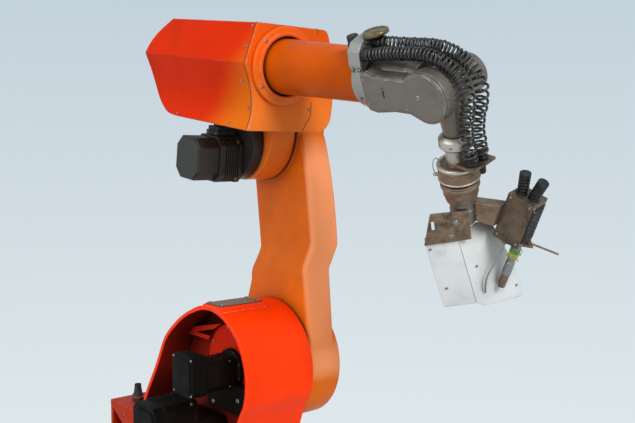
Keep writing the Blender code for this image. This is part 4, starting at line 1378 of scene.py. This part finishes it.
    def ring(self) -> None:
        """The stepped ring round the turning tube, its screws and the dark seal behind."""
        shape = Shape(AT_ELBOW)
        at, ahead, f = (0, 0, self.rise), AHEAD, self.face
        shape.using(0).turned([
            (0.0785, f + 0.0004), (0.0785, f + 0.0160), (0.0800, f + 0.0180), (0.0850, f + 0.0180),
            (0.0875, f + 0.0168), (0.0885, f + 0.0140), (0.0990, f + 0.0125), (0.1025, f + 0.0105),
            (0.1040, f + 0.0070), (0.1040, f + 0.0004)], at, ahead, 96, True)
        for y, n in [arc((0, 0), 0.0945, a, a, 2)[0] for a in (40.0, 140.0, 218.0, 322.0)]:
            shape.using(1).screw((f + 0.0124, y, self.rise + n), ahead, 0.0042, 0.0030)
        shape.using(2).turned([(0.0500, f + 0.0006), (0.0500, f + 0.0022), (0.0775, f + 0.0022),
                               (0.0775, f + 0.0006)], at, ahead, 72, True)
        shape.object("wrist_axis_step_ring", "elbow", [ARM_ORANGE, SCREW_STEEL, BLACK_RUBBER],
                     nodes=["wrist_axis_ring"])

    def seams(self) -> None:
        """Lid lines and screws on the housing's front face and the cover's flanks."""
        shape = Shape(AT_ELBOW)
        f = self.face
        lines = [[(0.107, 0.3085), (0.107, 0.298)], [(0.106, 0.112), (0.106, 0.074), (0.081, 0.031)]]
        for line in lines:
            for a, b in zip(line, line[1:]):
                shape.using(0).rod([Vector((f, a[0], a[1])), Vector((f, b[0], b[1]))], 0.0009, 6)
        shape.using(1).screw((f, 0.1000, 0.092), AHEAD, 0.0040, 0.0024)
        rim = self.section()
        for a, b in zip(rim, rim[1:]):
            shape.using(0).rod([Vector((self.seam + 0.0002, *a)), Vector((self.seam + 0.0002, *b))],
                               0.0009, 6)
        for u, n in self.cover_screws:
            shape.using(1).screw((u, self.near(n), n), (0, -1, 0.25 if n > self.rise else -0.15), 0.0038,
                                 0.0020)
        for u, n in ((-0.060, 0.040), (0.215, 0.040)):
            shape.using(1).screw((u, self.near(n), n), NEAR_SIDE, 0.0032, 0.0016)
        for u in (0.010, 0.150, 0.282):
            shape.using(1).screw((u, 0.118, 0.309), UP, 0.0040, 0.0022)
        shape.object("housing_screws", "elbow", [BLACK_RUBBER, SCREW_STEEL])

    def motor(self) -> None:
        """The finned elbow motor with its end cap, plug and screws."""
        shape = Shape(AT_ELBOW)
        centre = (0.0, -0.085)
        half = 0.068
        shape.using(0).prism(corners(half, half, 0.022), 0.046, 0.0616, "Y", centre)
        finned(shape, corners(half - 0.001, half - 0.001, 0.024), corners(half - 0.006, half - 0.006, 0.027),
               -0.004, 0.046, 7, "Y", centre)
        shape.prism(corners(half - 0.001, half - 0.001, 0.024), -0.020, -0.003, "Y", centre)
        shape.using(1).corner_screws(centre, (0.054, 0.054), 0.0465, 0.0052)
        shape.object("elbow_motor_body", "elbow", [MOTOR_GREY, SCREW_STEEL], 0.0012, nodes=["elbow_motor"])
        cap = Shape(AT_ELBOW)
        end = corners(half - 0.006, half - 0.006, 0.026)
        cap.using(0).prism(end, -0.088, -0.0204, "Y", centre)
        cap.prism(corners(half - 0.010, half - 0.010, 0.024), -0.092, -0.087, "Y", centre)
        cap.using(1).corner_screws(centre, (0.040, 0.040), -0.0905, 0.0040, 0.0014)
        cap.object("elbow_motor_cap", "elbow", [MOTOR_GREY, SCREW_STEEL], 0.002, nodes=["elbow_motor_end"])
        plug = Shape(AT_ELBOW)
        top = centre[1] + half
        plug.using(0).block((-0.030, -0.012, top + 0.0004), (0.030, 0.054, top + 0.014))
        plug.block((-0.026, -0.008, top + 0.012), (0.026, 0.050, top + 0.026))
        for x in (-0.022, 0.022):
            plug.using(1).screw((x, -0.012, top + 0.007), NEAR_SIDE, 0.0030, 0.0012)
        plug.object("elbow_motor_plug_body", "elbow", [BLACK_RUBBER, SCREW_STEEL], 0.0015,
                    nodes=["elbow_motor_plug"])


@dataclass
class Forearm:
    """The turning tube with its clamp, glands, wrist housing and side plate."""

    rear: float = -0.579
    front: float = -0.215
    rear_radius: float = 0.072
    front_radius: float = 0.064
    plate_outer: float = -0.083

    def cheek(self, inset: float) -> list[Pair]:
        """The side plate's outline, moved in by the inset.

        Args:
            inset: How far in.

        Returns:
            Its points, x and z.
        """
        i = inset
        return arc((0, 0), 0.058 - i, -112, 108, 40) + [
            (-0.038 - i * 0.3, 0.050 - i), (-0.053, 0.040 - i), (-0.148, 0.041 - i), (-0.170, 0.049 - i),
            (-0.190 + i, 0.040 - i * 0.5), (-0.190 + i, -0.034 + i * 0.5), (-0.182 + i * 0.7, -0.045 + i),
            (-0.158, -0.0494 + i), (-0.0965, -0.0406 + i), (-0.052, -0.041 + i)]

    def build(self) -> None:
        """Makes the tube, clamp, cap, gland, housing and plate."""
        tube = Shape(AT_WRIST)
        tube.turned([(0, self.front), (self.front_radius - 0.002, self.front),
                     (self.front_radius, self.front - 0.002), (0.0660, -0.300), (0.0690, -0.440),
                     (self.rear_radius, self.rear + 0.034), (self.rear_radius, self.rear + 0.002),
                     (self.rear_radius - 0.002, self.rear), (0, self.rear)], ORIGIN, AHEAD, 96)
        # The tube takes the darker tube orange: painted shade.
        tube.object("forearm_tube_skin", "forearm", [SHADED_TUBE_ORANGE], nodes=["forearm_tube"])
        dress("wrist_housing", CAST_ALUMINIUM)
        dress("wrist_collar", CLAMP_GREY)
        self.clamp_details()
        self.plate()

    def clamp_details(self) -> None:
        """The clamp's brass cap and screws, and the tube's gland."""
        cap = Shape(AT_WRIST)
        at = (-0.188, -0.006, 0.0)
        cap.using(0).turned([(0, 0.1155), (0.010, 0.1155), (0.012, 0.1140), (0.024, 0.1140), (0.0255, 0.1160),
                             (0.0285, 0.1160), (0.0310, 0.1140), (0.0310, 0.1074), (0, 0.1074)], at, UP, 56)
        cap.object("collar_cap_disc", "forearm", [BRASS], nodes=["collar_cap"])
        nuts = Shape(AT_WRIST)
        for x in (-0.226, -0.204):
            nuts.screw((x, -0.0645, 0.043), (0, -0.9, -0.35), 0.0050, 0.0040)
        for y, z in ((-0.030, 0.096), (-0.052, 0.076)):
            nuts.screw((-0.196, y, z), AHEAD, 0.0042, 0.0030)
        for angle in (200.0, 250.0, 300.0, 350.0):
            a = math.radians(angle)
            nuts.screw((-0.215, 0.073 * math.cos(a), 0.073 * math.sin(a)), (0, math.cos(a), math.sin(a)),
                       0.0038, 0.0026)
        nuts.object("clamp_screws", "forearm", [SCREW_STEEL])
        gland = Shape(AT_WRIST)
        at = (-0.258, -0.016, 0.0)
        gland.turned([(0, 0.106), (0.0125, 0.106), (0.0140, 0.1035), (0.0140, 0.088), (0.0160, 0.086),
                      (0.0160, 0.0660), (0, 0.0660)], at, UP, 32)
        gland.turned([(0, 0.0840), (0.0160, 0.0840), (0.0160, 0.0740), (0, 0.0740)], at, UP, 6)
        gland.object("tube_gland_body", "forearm", [BLACK_RUBBER], nodes=["tube_gland"])

    def plate(self) -> None:
        """The side plate with its raised rim, slot and screws."""
        shape = Shape(AT_WRIST)
        o = self.plate_outer
        shape.using(0).prism([(x * 0.985, z * 0.975) for x, z in self.cheek(0.0)], o + 0.0012, o + 0.0066,
                             "Y")
        rim_out = [(x * 0.985, z * 0.975) for x, z in self.cheek(0.0045)]
        shape.prism(rim_out, o, o + 0.0030, "Y")
        shape.using(1)
        slot = arc((-0.122, -0.006), 0.0028, 180, 360, 8) + arc((-0.122, 0.014), 0.0028, 0, 180, 8)
        shape.prism(slot, o - 0.0003, o + 0.0010, "Y")
        for x, z, r in ((-0.018, 0.001, 0.0056), (-0.122, 0.011, 0.0026), (-0.178, 0.028, 0.0030),
                        (-0.178, -0.030, 0.0030), (-0.060, -0.030, 0.0030)):
            shape.using(2).screw((x, o + 0.0004, z), NEAR_SIDE, r, 0.0020)
        shape.object("wrist_plate_body", "forearm", [CAST_ALUMINIUM, BLACK_RUBBER, SCREW_STEEL], 0.0022, 3,
                     nodes=["wrist_side_plate"])


@dataclass
class CoilHose:
    """A curly hose wound along its route."""

    name: str
    node: str
    route: tuple[Triple, ...]
    side: float
    outer: float = 0.0165
    wire: float = 0.0029
    pitch: float = 0.0104
    wide: float = 0.0165
    loose: float = 0.10
    steps: int = 16
    start_x: float = -0.1956
    sleeve: float = 0.017
    overlap: float = 0.004
    bracket_x: float = 0.172
    bracket_z: float = 0.060
    seat: float = 0.0004
    lead_in: float = 0.015
    lead_out: float = 0.012

    def line(self) -> list[Vector]:
        """The hose's middle line, at even distances.

        Returns:
            Its points.
        """
        along = Vector((math.cos(BEND), 0, -math.sin(BEND)))
        outward = Vector((math.sin(BEND), 0, math.cos(BEND)))
        foot = along * (self.bracket_x - self.seat) + outward * self.bracket_z + Vector((0, self.side, 0))
        lead = foot - along * self.lead_in
        first = Vector((self.start_x, *self.route[0][:2]))
        second = first + Vector((self.lead_out, 0, 0))
        knots = [second, *(Vector(k) for k in self.route[1:]), lead]
        return even_path([first, *smooth_path([tuple(k) for k in knots], 120), foot], 240)

    def build(self) -> None:
        """Winds the wire, adds the smooth ends and takes the piece off its body."""
        line = self.line()
        length = sum((b - a).length for a, b in zip(line, line[1:]))
        axes = carried_axes(line)
        radius = self.outer - self.wire
        coil, run, turn = [], self.sleeve - self.overlap, 0.0
        while run < length - self.sleeve + self.overlap:
            at = run / length * (len(line) - 1)
            k = min(int(at), len(line) - 2)
            centre = line[k].lerp(line[k + 1], at - k)
            side, other = axes[k]
            wobble = 1.0 - self.loose * (0.5 + 0.5 * math.sin(turn * 0.37 + self.side * 200.0))
            coil.append(centre + (side * math.cos(turn) + other * math.sin(turn)) * radius * wobble)
            stretch = min(max((run / length - 0.50) / 0.14, 0.0),
                          1.0) * min(max((0.97 - run / length) / 0.06, 0.0), 1.0)
            run += (self.pitch + (self.wide - self.pitch) * stretch) / self.steps
            turn += 2 * math.pi / self.steps
        shape = Shape(AT_WRIST)
        shape.using(0).rod(coil, self.wire, 8)
        ends = int(self.sleeve / length * (len(line) - 1)) + 1
        shape.using(1).rod(line[:ends + 2], self.outer - 0.0015, 24)
        shape.rod(line[-ends - 1:], 0.0105, 24)
        shape.rod(line[1:4], self.outer, 24)
        shape.rod(line[-4:], 0.0130, 24)
        hose = shape.object(self.name, "forearm", [HOSE_BLACK, BLACK_RUBBER], nodes=[self.node])
        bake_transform(release(hose))


def release(piece: bpy.types.Object) -> bpy.types.Object:
    """Takes a piece off its body.

    Args:
        piece: The piece.

    Returns:
        The same piece.
    """
    piece.parent = None
    piece.matrix_world = Matrix.Identity(4)
    return piece


@dataclass
class Hand:
    """The bending hand with its flange, swivel cup and hose bracket."""

    cup_start: float = 0.190
    cup_end: float = 0.2325
    cup_radius: float = 0.049

    def build(self) -> None:
        """Dresses the hand and adds the cup's and flange's details."""
        dress("hand_body", CAST_ALUMINIUM)
        dress("hose_bracket", SCORCHED)
        flange = Shape(AT_HAND)
        flange.using(0).turned([
            (0, 0.190), (0.0265, 0.190), (0.0265, 0.154), (0.0310, 0.1510), (0.0370, 0.1480),
            (0.0390, 0.1450), (0.0390, 0.1280), (0.0375, 0.1250), (0.0290, 0.1184), (0, 0.1184)], ORIGIN,
            AHEAD, 64)
        for y, z in ring_of(0.0390, 8, 22.5):
            flange.using(1).screw((0.1365, y * 0.995, z * 0.995), (0, y, z), 0.0028, 0.0012)
        flange.object("hand_flange_ring", "hand", [BRIGHT_ALUMINIUM, SCREW_STEEL], nodes=["hand_flange"])
        knuckle = Shape(AT_HAND)
        for y in (-0.0425, 0.0425):
            knuckle.turned([(0, 0.0022), (0.034, 0.0022), (0.036, 0.0008), (0.036, -0.001), (0, -0.001)],
                           (0, y, 0), (0, math.copysign(1, y), 0), 48)
        knuckle.object("knuckle_discs", "hand", [CAST_ALUMINIUM])
        self.cup()

    @staticmethod
    def outward(angle: float) -> Vector:
        """The direction away from the hand's axis at an angle in degrees."""
        turn = math.radians(angle)
        return Vector((0, math.cos(turn), math.sin(turn)))

    def cup(self) -> None:
        """The swivel cup with its bright lip, inlets and wire ring."""
        a, b, r = self.cup_start, self.cup_end, self.cup_radius
        shape = Shape(AT_HAND)
        shape.using(0).turned([
            (0, 0.2374), (0.030, 0.2374), (0.030, b), (r - 0.004, b), (r - 0.0015, b - 0.002),
            (r - 0.0015, a + 0.013), (r - 0.0030, a + 0.011), (r - 0.0030, a + 0.0030),
            (0.0260, a + 0.0030), (0.0260, a + 0.0004), (0, a + 0.0004)], ORIGIN, AHEAD, 80)
        shape.using(2).turned([
            (r - 0.0085, a + 0.0040), (r - 0.0070, a + 0.0008), (r - 0.0020, a + 0.0004), (r, a + 0.0022),
            (r, a + 0.0080), (r - 0.0030, a + 0.0092)], ORIGIN, AHEAD, 80, True)
        shape.turned([(r - 0.0070, b - 0.0004), (r - 0.0020, b - 0.0060), (r - 0.0004, b - 0.0050),
                      (r - 0.0004, b - 0.0025), (r - 0.0040, b + 0.0006)], ORIGIN, AHEAD, 80, True)
        for angle, along, size in ((28.0, 0.026, 0.0050), (238.0, 0.034, 0.0045), (318.0, 0.028, 0.0050)):
            out = self.outward(angle)
            shape.using(1).rod([Vector((a + along, 0, 0)) + out * (r - 0.006),
                                Vector((a + along, 0, 0)) + out * (r + 0.0060)], size, 16)
            shape.rod([Vector((a + along, 0, 0)) + out * (r + 0.005),
                       Vector((a + along, 0, 0)) + out * (r + 0.0105)], size * 0.65, 12)
        out = self.outward(44.0)
        block = [Vector((a + t, 0, 0)) + out * (r + 0.0035) for t in (0.012, 0.015, 0.036, 0.039)]
        shape.using(3).rod(block, 0.009, 16, [0.0065, 0.0085, 0.0085, 0.0065])
        out = self.outward(222.0)
        loop = [Vector((a + 0.004 + 0.020 * math.cos(t), 0, 0)) + out * (r - 0.0005 + 0.0085 * math.sin(t))
                for t in (2 * math.pi * i / 32 for i in range(31))]
        shape.using(2).rod(loop, 0.0013, 8)
        shape.object("swivel_cup_body", "hand", [SCORCHED, STEEL, BRIGHT_ALUMINIUM, BLACK_RUBBER],
                     nodes=["swivel_cup"])


@dataclass
class Tool:
    """The welding tool: swivel body, sleeve, slotted bracket, shields, torch box and torch."""

    at: Matrix = field(default_factory=lambda: AT_TOOL @ Matrix.Translation((-TOOL_START, 0, 0)))
    box_end: float = -0.006
    box_length: float = 0.121
    box_half: float = 0.034
    torch_length: float = 0.100

    def build(self) -> None:
        """Dresses the plates and adds the turned, bolted and wired details."""
        for node in ("tool_bracket", "torch_arm", "torch_box_foot"):
            dress(node, SCORCHED)
        for node in ("shield_left", "shield_right"):
            dress(node, PALE_PLATE)
        self.body()
        self.bolts()
        self.torch_box()
        self.torch()

    def body(self) -> None:
        """The turned swivel body and the sleeve under it."""
        shape = Shape(self.at)
        shape.turned([(0, 0.290), (0.034, 0.290), (0.036, 0.288), (0.0395, 0.273), (0.041, 0.270),
                      (0.041, 0.2575), (0.0435, 0.2545), (0.0455, 0.250), (0.0455, 0.2460),
                      (0.0440, 0.2450), (0.0440, 0.2430), (0.0455, 0.2420), (0.0455, 0.2395),
                      (0.0440, 0.2380), (0, 0.2380)], ORIGIN, AHEAD, 80)
        shape.object("tool_body_turned", "tool", [SCORCHED], nodes=["tool_body"])
        sleeve = Shape(self.at)
        sleeve.turned([(0, 0.352), (0.027, 0.352), (0.0285, 0.3505), (0.0285, 0.3300), (0.0300, 0.3285),
                       (0.0300, 0.3120), (0.0285, 0.3105), (0.0285, 0.3010), (0.0300, 0.2995),
                       (0.0300, 0.2904), (0, 0.2904)], ORIGIN, AHEAD, 64)
        sleeve.object("tool_sleeve_turned", "tool", [CAST_ALUMINIUM], nodes=["tool_sleeve"])

    def bolts(self) -> None:
        """Bolts of the bracket and the shield plates."""
        shape = Shape(self.at)
        for t, r in ((0.332, -0.022), (0.368, -0.036)):
            shape.using(0).washer_screw((t, r, 0.0344), UP, 0.0048)
        for t, r in ((0.400, -0.088), (0.522, -0.061)):
            shape.screw((t, r, 0.0300), UP, 0.0034, 0.0016)
        n = Vector((-0.0794, 0.5429, 0.8360)).normalized()
        for t, r in ((0.480, 0.018), (0.598, 0.118)):
            q = 0.0285 - (n.x * (t - 0.3757) + n.y * (r + 0.0203)) / n.z
            shape.screw((t, r, q), tuple(n), 0.0034, 0.0016)
        shape.object("shield_bolts", "tool", [SCREW_STEEL])

    def torch_box(self) -> None:
        """The torch box with its lid, vented black side and plug boots."""
        start, end, h = self.box_end - self.box_length, self.box_end, self.box_half
        box = Shape(AT_TORCH_BOX)
        box.using(0).block((start, -h, -h), (end, h, h))
        for x in (start + 0.010, end - 0.010):
            for y in (-h + 0.008, h - 0.008):
                box.using(1).screw((x, y, h), UP, 0.0034, 0.0018)
            for z in (-h + 0.008, h - 0.008):
                box.screw((x, -h, z), NEAR_SIDE, 0.0034, 0.0018)
                box.screw((x, h, z), FAR_SIDE, 0.0034, 0.0018)
        box.object("torch_box_body", "tool", [BOX_STEEL, SCREW_STEEL], 0.0022, nodes=["torch_box"])
        side = Shape(AT_TORCH_BOX)
        x0, x1, y0, y1 = start + 0.020, end - 0.006, -h + 0.012, h - 0.002
        side.using(0).block((x0, y0, -h - 0.0085), (x1, y1, -h - 0.0004))
        slots = 7
        pitch = (x1 - x0 - 0.012) / slots
        for i in range(slots):
            at = x0 + 0.006 + pitch * i
            side.block((at, y0 + 0.006, -h - 0.0110), (at + pitch * 0.55, y1 - 0.006, -h - 0.0080))
        for x in (x0 + 0.004, x1 - 0.004):
            for y in (y0 + 0.004, y1 - 0.004):
                side.using(1).screw((x, y, -h - 0.0085), (0, 0, -1), 0.0026, 0.0016)
        side.object("torch_box_vents", "tool", [BLACK_RUBBER, SCREW_STEEL], 0.0008, nodes=["torch_box_side"])
        vents = Shape(AT_TORCH_BOX)
        vents.using(0).block((start + 0.016, h - 0.001, -0.027), (end - 0.010, h + 0.0022, 0.027))
        for i in range(8):
            at = start + 0.021 + 0.0108 * i
            vents.using(1).block((at, h + 0.001, -0.022), (at + 0.0050, h + 0.0040, 0.022))
        for x in (start + 0.0185, end - 0.0125):
            for z in (-0.0245, 0.0245):
                vents.using(2).screw((x, h + 0.0022, z), FAR_SIDE, 0.0022, 0.0014)
        vents.object("torch_box_grille", "tool", [VENT_BLACK, BLACK_RUBBER, SCREW_STEEL], 0.0006)
        top = start - 0.0004
        for name, node, y, lean in (("torch_boot_left", "torch_plug_left", -0.016, -0.006),
                                    ("torch_boot_right", "torch_plug_right", 0.016, 0.010)):
            knots = [(top, y, 0.004), (top - 0.008, y, 0.004), (top - 0.026, y + lean * 0.4, 0.006),
                     (top - 0.052, y + lean, 0.010)]
            line = even_path(smooth_path(knots, 40), 27)
            radii = [0.0135 if (i // 2) % 2 == 0 or i > 18 else 0.0118 for i in range(len(line))]
            boot = Shape(AT_TORCH_BOX)
            boot.rod(line, 0.0135, 24, radii)
            boot.object(name, "tool", [BLACK_RUBBER], nodes=[node])

    def torch(self) -> None:
        """The torch with its wire wraps and nozzle, and the wire guide beside it."""
        shape = Shape(AT_TORCH)
        end = self.torch_length
        shape.using(0).turned([(0, end), (0.0100, end), (0.0115, end - 0.002), (0.0115, 0.062),
                               (0.0100, 0.060), (0.0100, 0.052), (0.0115, 0.050), (0.0115, 0.002),
                               (0.0105, 0.0), (0, 0.0)], ORIGIN, AHEAD, 40)
        for index, first, turns in ((1, 0.020, 4), (2, 0.033, 3)):
            wrap = [Vector((first + 0.0034 * k / 24, 0.0112 * math.cos(2 * math.pi * k / 24),
                            0.0112 * math.sin(2 * math.pi * k / 24))) for k in range(24 * turns + 1)]
            shape.using(index).rod(wrap, 0.0016, 8)
        for index, first, lean in ((1, 0.026, 0.010), (2, 0.034, -0.011), (2, 0.042, 0.012)):
            ring = [Vector((first + lean * math.cos(a), 0.0145 * math.cos(a) + 0.002, 0.0150 * math.sin(a)))
                    for a in (2 * math.pi * k / 36 for k in range(36))]
            shape.using(index).rod(ring, 0.0008, 6)
        shape.object("torch_body_wrapped", "tool", [STEEL, WIRE_GREEN, WIRE_YELLOW], nodes=["torch_body"])
        nozzle = Shape(AT_TORCH)
        nozzle.using(0).turned([(0.0060, end + 0.026), (0.0070, end + 0.036), (0.0092, end + 0.036),
                                (0.0100, end + 0.034), (0.0100, end + 0.0004), (0, end + 0.0004)],
                               ORIGIN, AHEAD, 40)
        nozzle.turned([(0, end + 0.026), (0.0062, end + 0.026)], ORIGIN, AHEAD, 24)
        nozzle.object("torch_nozzle_turned", "tool", [SCORCHED], nodes=["torch_nozzle"])
        guide = Shape(AT_TORCH)
        knots = [(0, -0.030, 0), (0.006, -0.030, 0.0), (0.035, -0.035, 0.006), (0.064, -0.0414, 0.011),
                 (0.1024, -0.0489, 0.018), (0.128, -0.046, 0.020), (0.151, -0.0386, 0.018)]
        line = smooth_path(knots, 60)
        guide.using(0).rod(line, 0.0024, 12)
        guide.turned([(0, 0.010), (0.0050, 0.010), (0.0055, 0.009), (0.0055, 0.0), (0, 0.0)],
                     (0, -0.030, 0), AHEAD, 6)
        guide.object("wire_guide_tube", "tool", [STEEL], nodes=["wire_guide"])


@dataclass(frozen=True)
class Studio:
    """Camera, lamps, world and pale floor."""

    eye: Triple = (2.2133758, -1.37010788, 1.33656573)
    ahead: Triple = (-0.764, 0.641, -0.0727)
    sensor: float = 36.0
    focus_px: float = 837.0
    frame_px: float = 635.0
    sky: str = "C3D1DB"
    haze: str = "DEE7EA"
    floor_code: str = "D3DADD"
    floor_radius: float = 1.32
    sky_light: float = 0.52
    haze_low: float = -0.30
    haze_high: float = 0.18

    def build(self) -> None:
        """Sets the camera, the lamps, the world and the floor."""
        camera = bpy.data.objects.new("camera", bpy.data.cameras.new("camera"))
        camera.data.lens = self.sensor * self.focus_px / self.frame_px
        camera.data.sensor_width = self.sensor
        camera.data.sensor_fit = "HORIZONTAL"
        turn = Vector(self.ahead).normalized().to_track_quat("-Z", "Y").to_matrix().to_4x4()
        camera.matrix_world = Matrix.Translation(self.eye) @ turn
        bpy.context.scene.collection.objects.link(camera)
        bpy.context.scene.camera = camera
        self.sun("key", (0.95, -0.20, 0.58), 2.25, 22.0)
        self.sun("fill", (-0.12, -0.95, 0.34), 1.25, 50.0)
        self.world()
        self.floor()
        bpy.context.scene.view_settings.view_transform = "Standard"

    @staticmethod
    def sun(name: str, source: Triple, strength: float, spread: float) -> None:
        """Adds a soft distant lamp.

        Args:
            name: Its name.
            source: The direction that it shines from.
            strength: Its strength.
            spread: Its angle in degrees.
        """
        lamp = bpy.data.objects.new(name, bpy.data.lights.new(name, "SUN"))
        lamp.data.energy = strength
        lamp.data.angle = math.radians(spread)
        lamp.matrix_world = (-Vector(source)).to_track_quat("-Z", "Y").to_matrix().to_4x4()
        bpy.context.scene.collection.objects.link(lamp)

    def world(self) -> None:
        """A pale sky that looks tinted and lights plainly."""
        world = bpy.data.worlds.new("sky")
        bpy.context.scene.world = world
        world.use_nodes = True
        tree = world.node_tree
        tree.nodes.clear()
        path = tree.nodes.new("ShaderNodeLightPath")
        total = path.outputs["Is Camera Ray"]
        for ray in ("Is Glossy Ray", "Is Transmission Ray"):
            add = tree.nodes.new("ShaderNodeMath")
            add.operation = "ADD"
            add.use_clamp = True
            tree.links.new(total, add.inputs[0])
            tree.links.new(path.outputs[ray], add.inputs[1])
            total = add.outputs[0]
        light, seen = tree.nodes.new("ShaderNodeBackground"), tree.nodes.new("ShaderNodeBackground")
        light.inputs["Color"].default_value = (0.96, 0.98, 1.0, 1.0)
        light.inputs["Strength"].default_value = self.sky_light
        ramp = tree.nodes.new("ShaderNodeMapRange")
        ramp.inputs["From Min"].default_value = self.haze_low
        ramp.inputs["From Max"].default_value = self.haze_high
        split, spot = tree.nodes.new("ShaderNodeSeparateXYZ"), tree.nodes.new("ShaderNodeTexCoord")
        blend = tree.nodes.new("ShaderNodeMix")
        blend.data_type = "RGBA"
        tree.links.new(spot.outputs["Generated"], split.inputs[0])
        tree.links.new(split.outputs["Z"], ramp.inputs["Value"])
        tree.links.new(ramp.outputs["Result"], blend.inputs["Factor"])
        blend.inputs["A"].default_value = linear(self.haze)
        blend.inputs["B"].default_value = linear(self.sky)
        tree.links.new(blend.outputs["Result"], seen.inputs["Color"])
        seen.inputs["Strength"].default_value = 1.0
        mix, out = tree.nodes.new("ShaderNodeMixShader"), tree.nodes.new("ShaderNodeOutputWorld")
        tree.links.new(total, mix.inputs["Fac"])
        tree.links.new(light.outputs[0], mix.inputs[1])
        tree.links.new(seen.outputs[0], mix.inputs[2])
        tree.links.new(mix.outputs[0], out.inputs["Surface"])

    def floor(self) -> None:
        """A round pale floor under the arm."""
        mesh = bpy.data.meshes.new("floor")
        work = bmesh.new()
        bmesh.ops.create_circle(work, cap_ends=True, segments=128, radius=self.floor_radius)
        work.to_mesh(mesh)
        work.free()
        floor = bpy.data.objects.new("floor", mesh)
        bpy.context.scene.collection.objects.link(floor)
        bench = NodeBench("floor")
        shade = bench.ramp(bench.noise(1.4, 4.0), 0.3, 0.7)
        pale = linear(self.floor_code)
        bench.drive("Base Color", bench.tint(pale, tuple(c * 0.95 for c in pale[:3]) + (1.0,), shade))
        bench.shader.inputs["Roughness"].default_value = 0.8
        mesh.materials.append(bench.material)
        floor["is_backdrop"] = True


UPPER_ROUTE: tuple[Triple, ...] = (
    (-0.004, 0.0875, 0.0), (-0.125, 0.006, 0.0820), (-0.079, 0.008, 0.0815), (-0.034, 0.008, 0.0815),
    (0.003, 0.008, 0.0765), (0.038, 0.008, 0.0620), (0.062, 0.008, 0.0410), (0.076, 0.008, 0.0150),
    (0.078, 0.008, -0.0140), (0.066, 0.008, -0.0500), (0.053, 0.008, -0.0800), (0.045, 0.010, -0.1150))
LOWER_ROUTE: tuple[Triple, ...] = (
    (-0.045, 0.0725, 0.0), (-0.125, -0.040, 0.0780), (-0.079, -0.037, 0.0790), (-0.034, -0.034, 0.0790),
    (0.001, -0.034, 0.0745), (0.036, -0.034, 0.0610), (0.060, -0.034, 0.0400), (0.073, -0.034, 0.0140),
    (0.074, -0.033, -0.0150), (0.062, -0.031, -0.0500), (0.050, -0.028, -0.0800), (0.044, -0.026, -0.1150))


def write_size(finished: object) -> None:
    """Puts the model's box at the start and at the end into plain lists, which are then dropped.

    Args:
        finished: The box measured at the end.
    """
    {"start": plain(CAD_BOX), "end": plain(finished)}


def plain(value: object) -> object:
    """Turns boxes and vectors into plain lists of numbers.

    Args:
        value: A box, a vector or a number.

    Returns:
        The same in plain form.
    """
    if isinstance(value, dict):
        return {key: plain(item) for key, item in value.items()}
    if isinstance(value, (int, float, str)) or value is None:
        return value
    return [plain(item) for item in value]


def main() -> None:
    """Builds every sub-assembly in order, then the studio."""
    logging.basicConfig(level=logging.INFO, format="%(message)s")
    for part in (Base(), Column(), Link(), Elbow(), Forearm(),
                 CoilHose("coil_hose_upper_wound", "coil_hose_upper", UPPER_ROUTE, 0.014),
                 CoilHose("coil_hose_lower_wound", "coil_hose_lower", LOWER_ROUTE, -0.022),
                 Hand(), Tool(), Studio()):
        LOG.info("building %s", type(part).__name__)
        part.build()
    write_size(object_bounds())


if __name__ == "__main__":
    main()
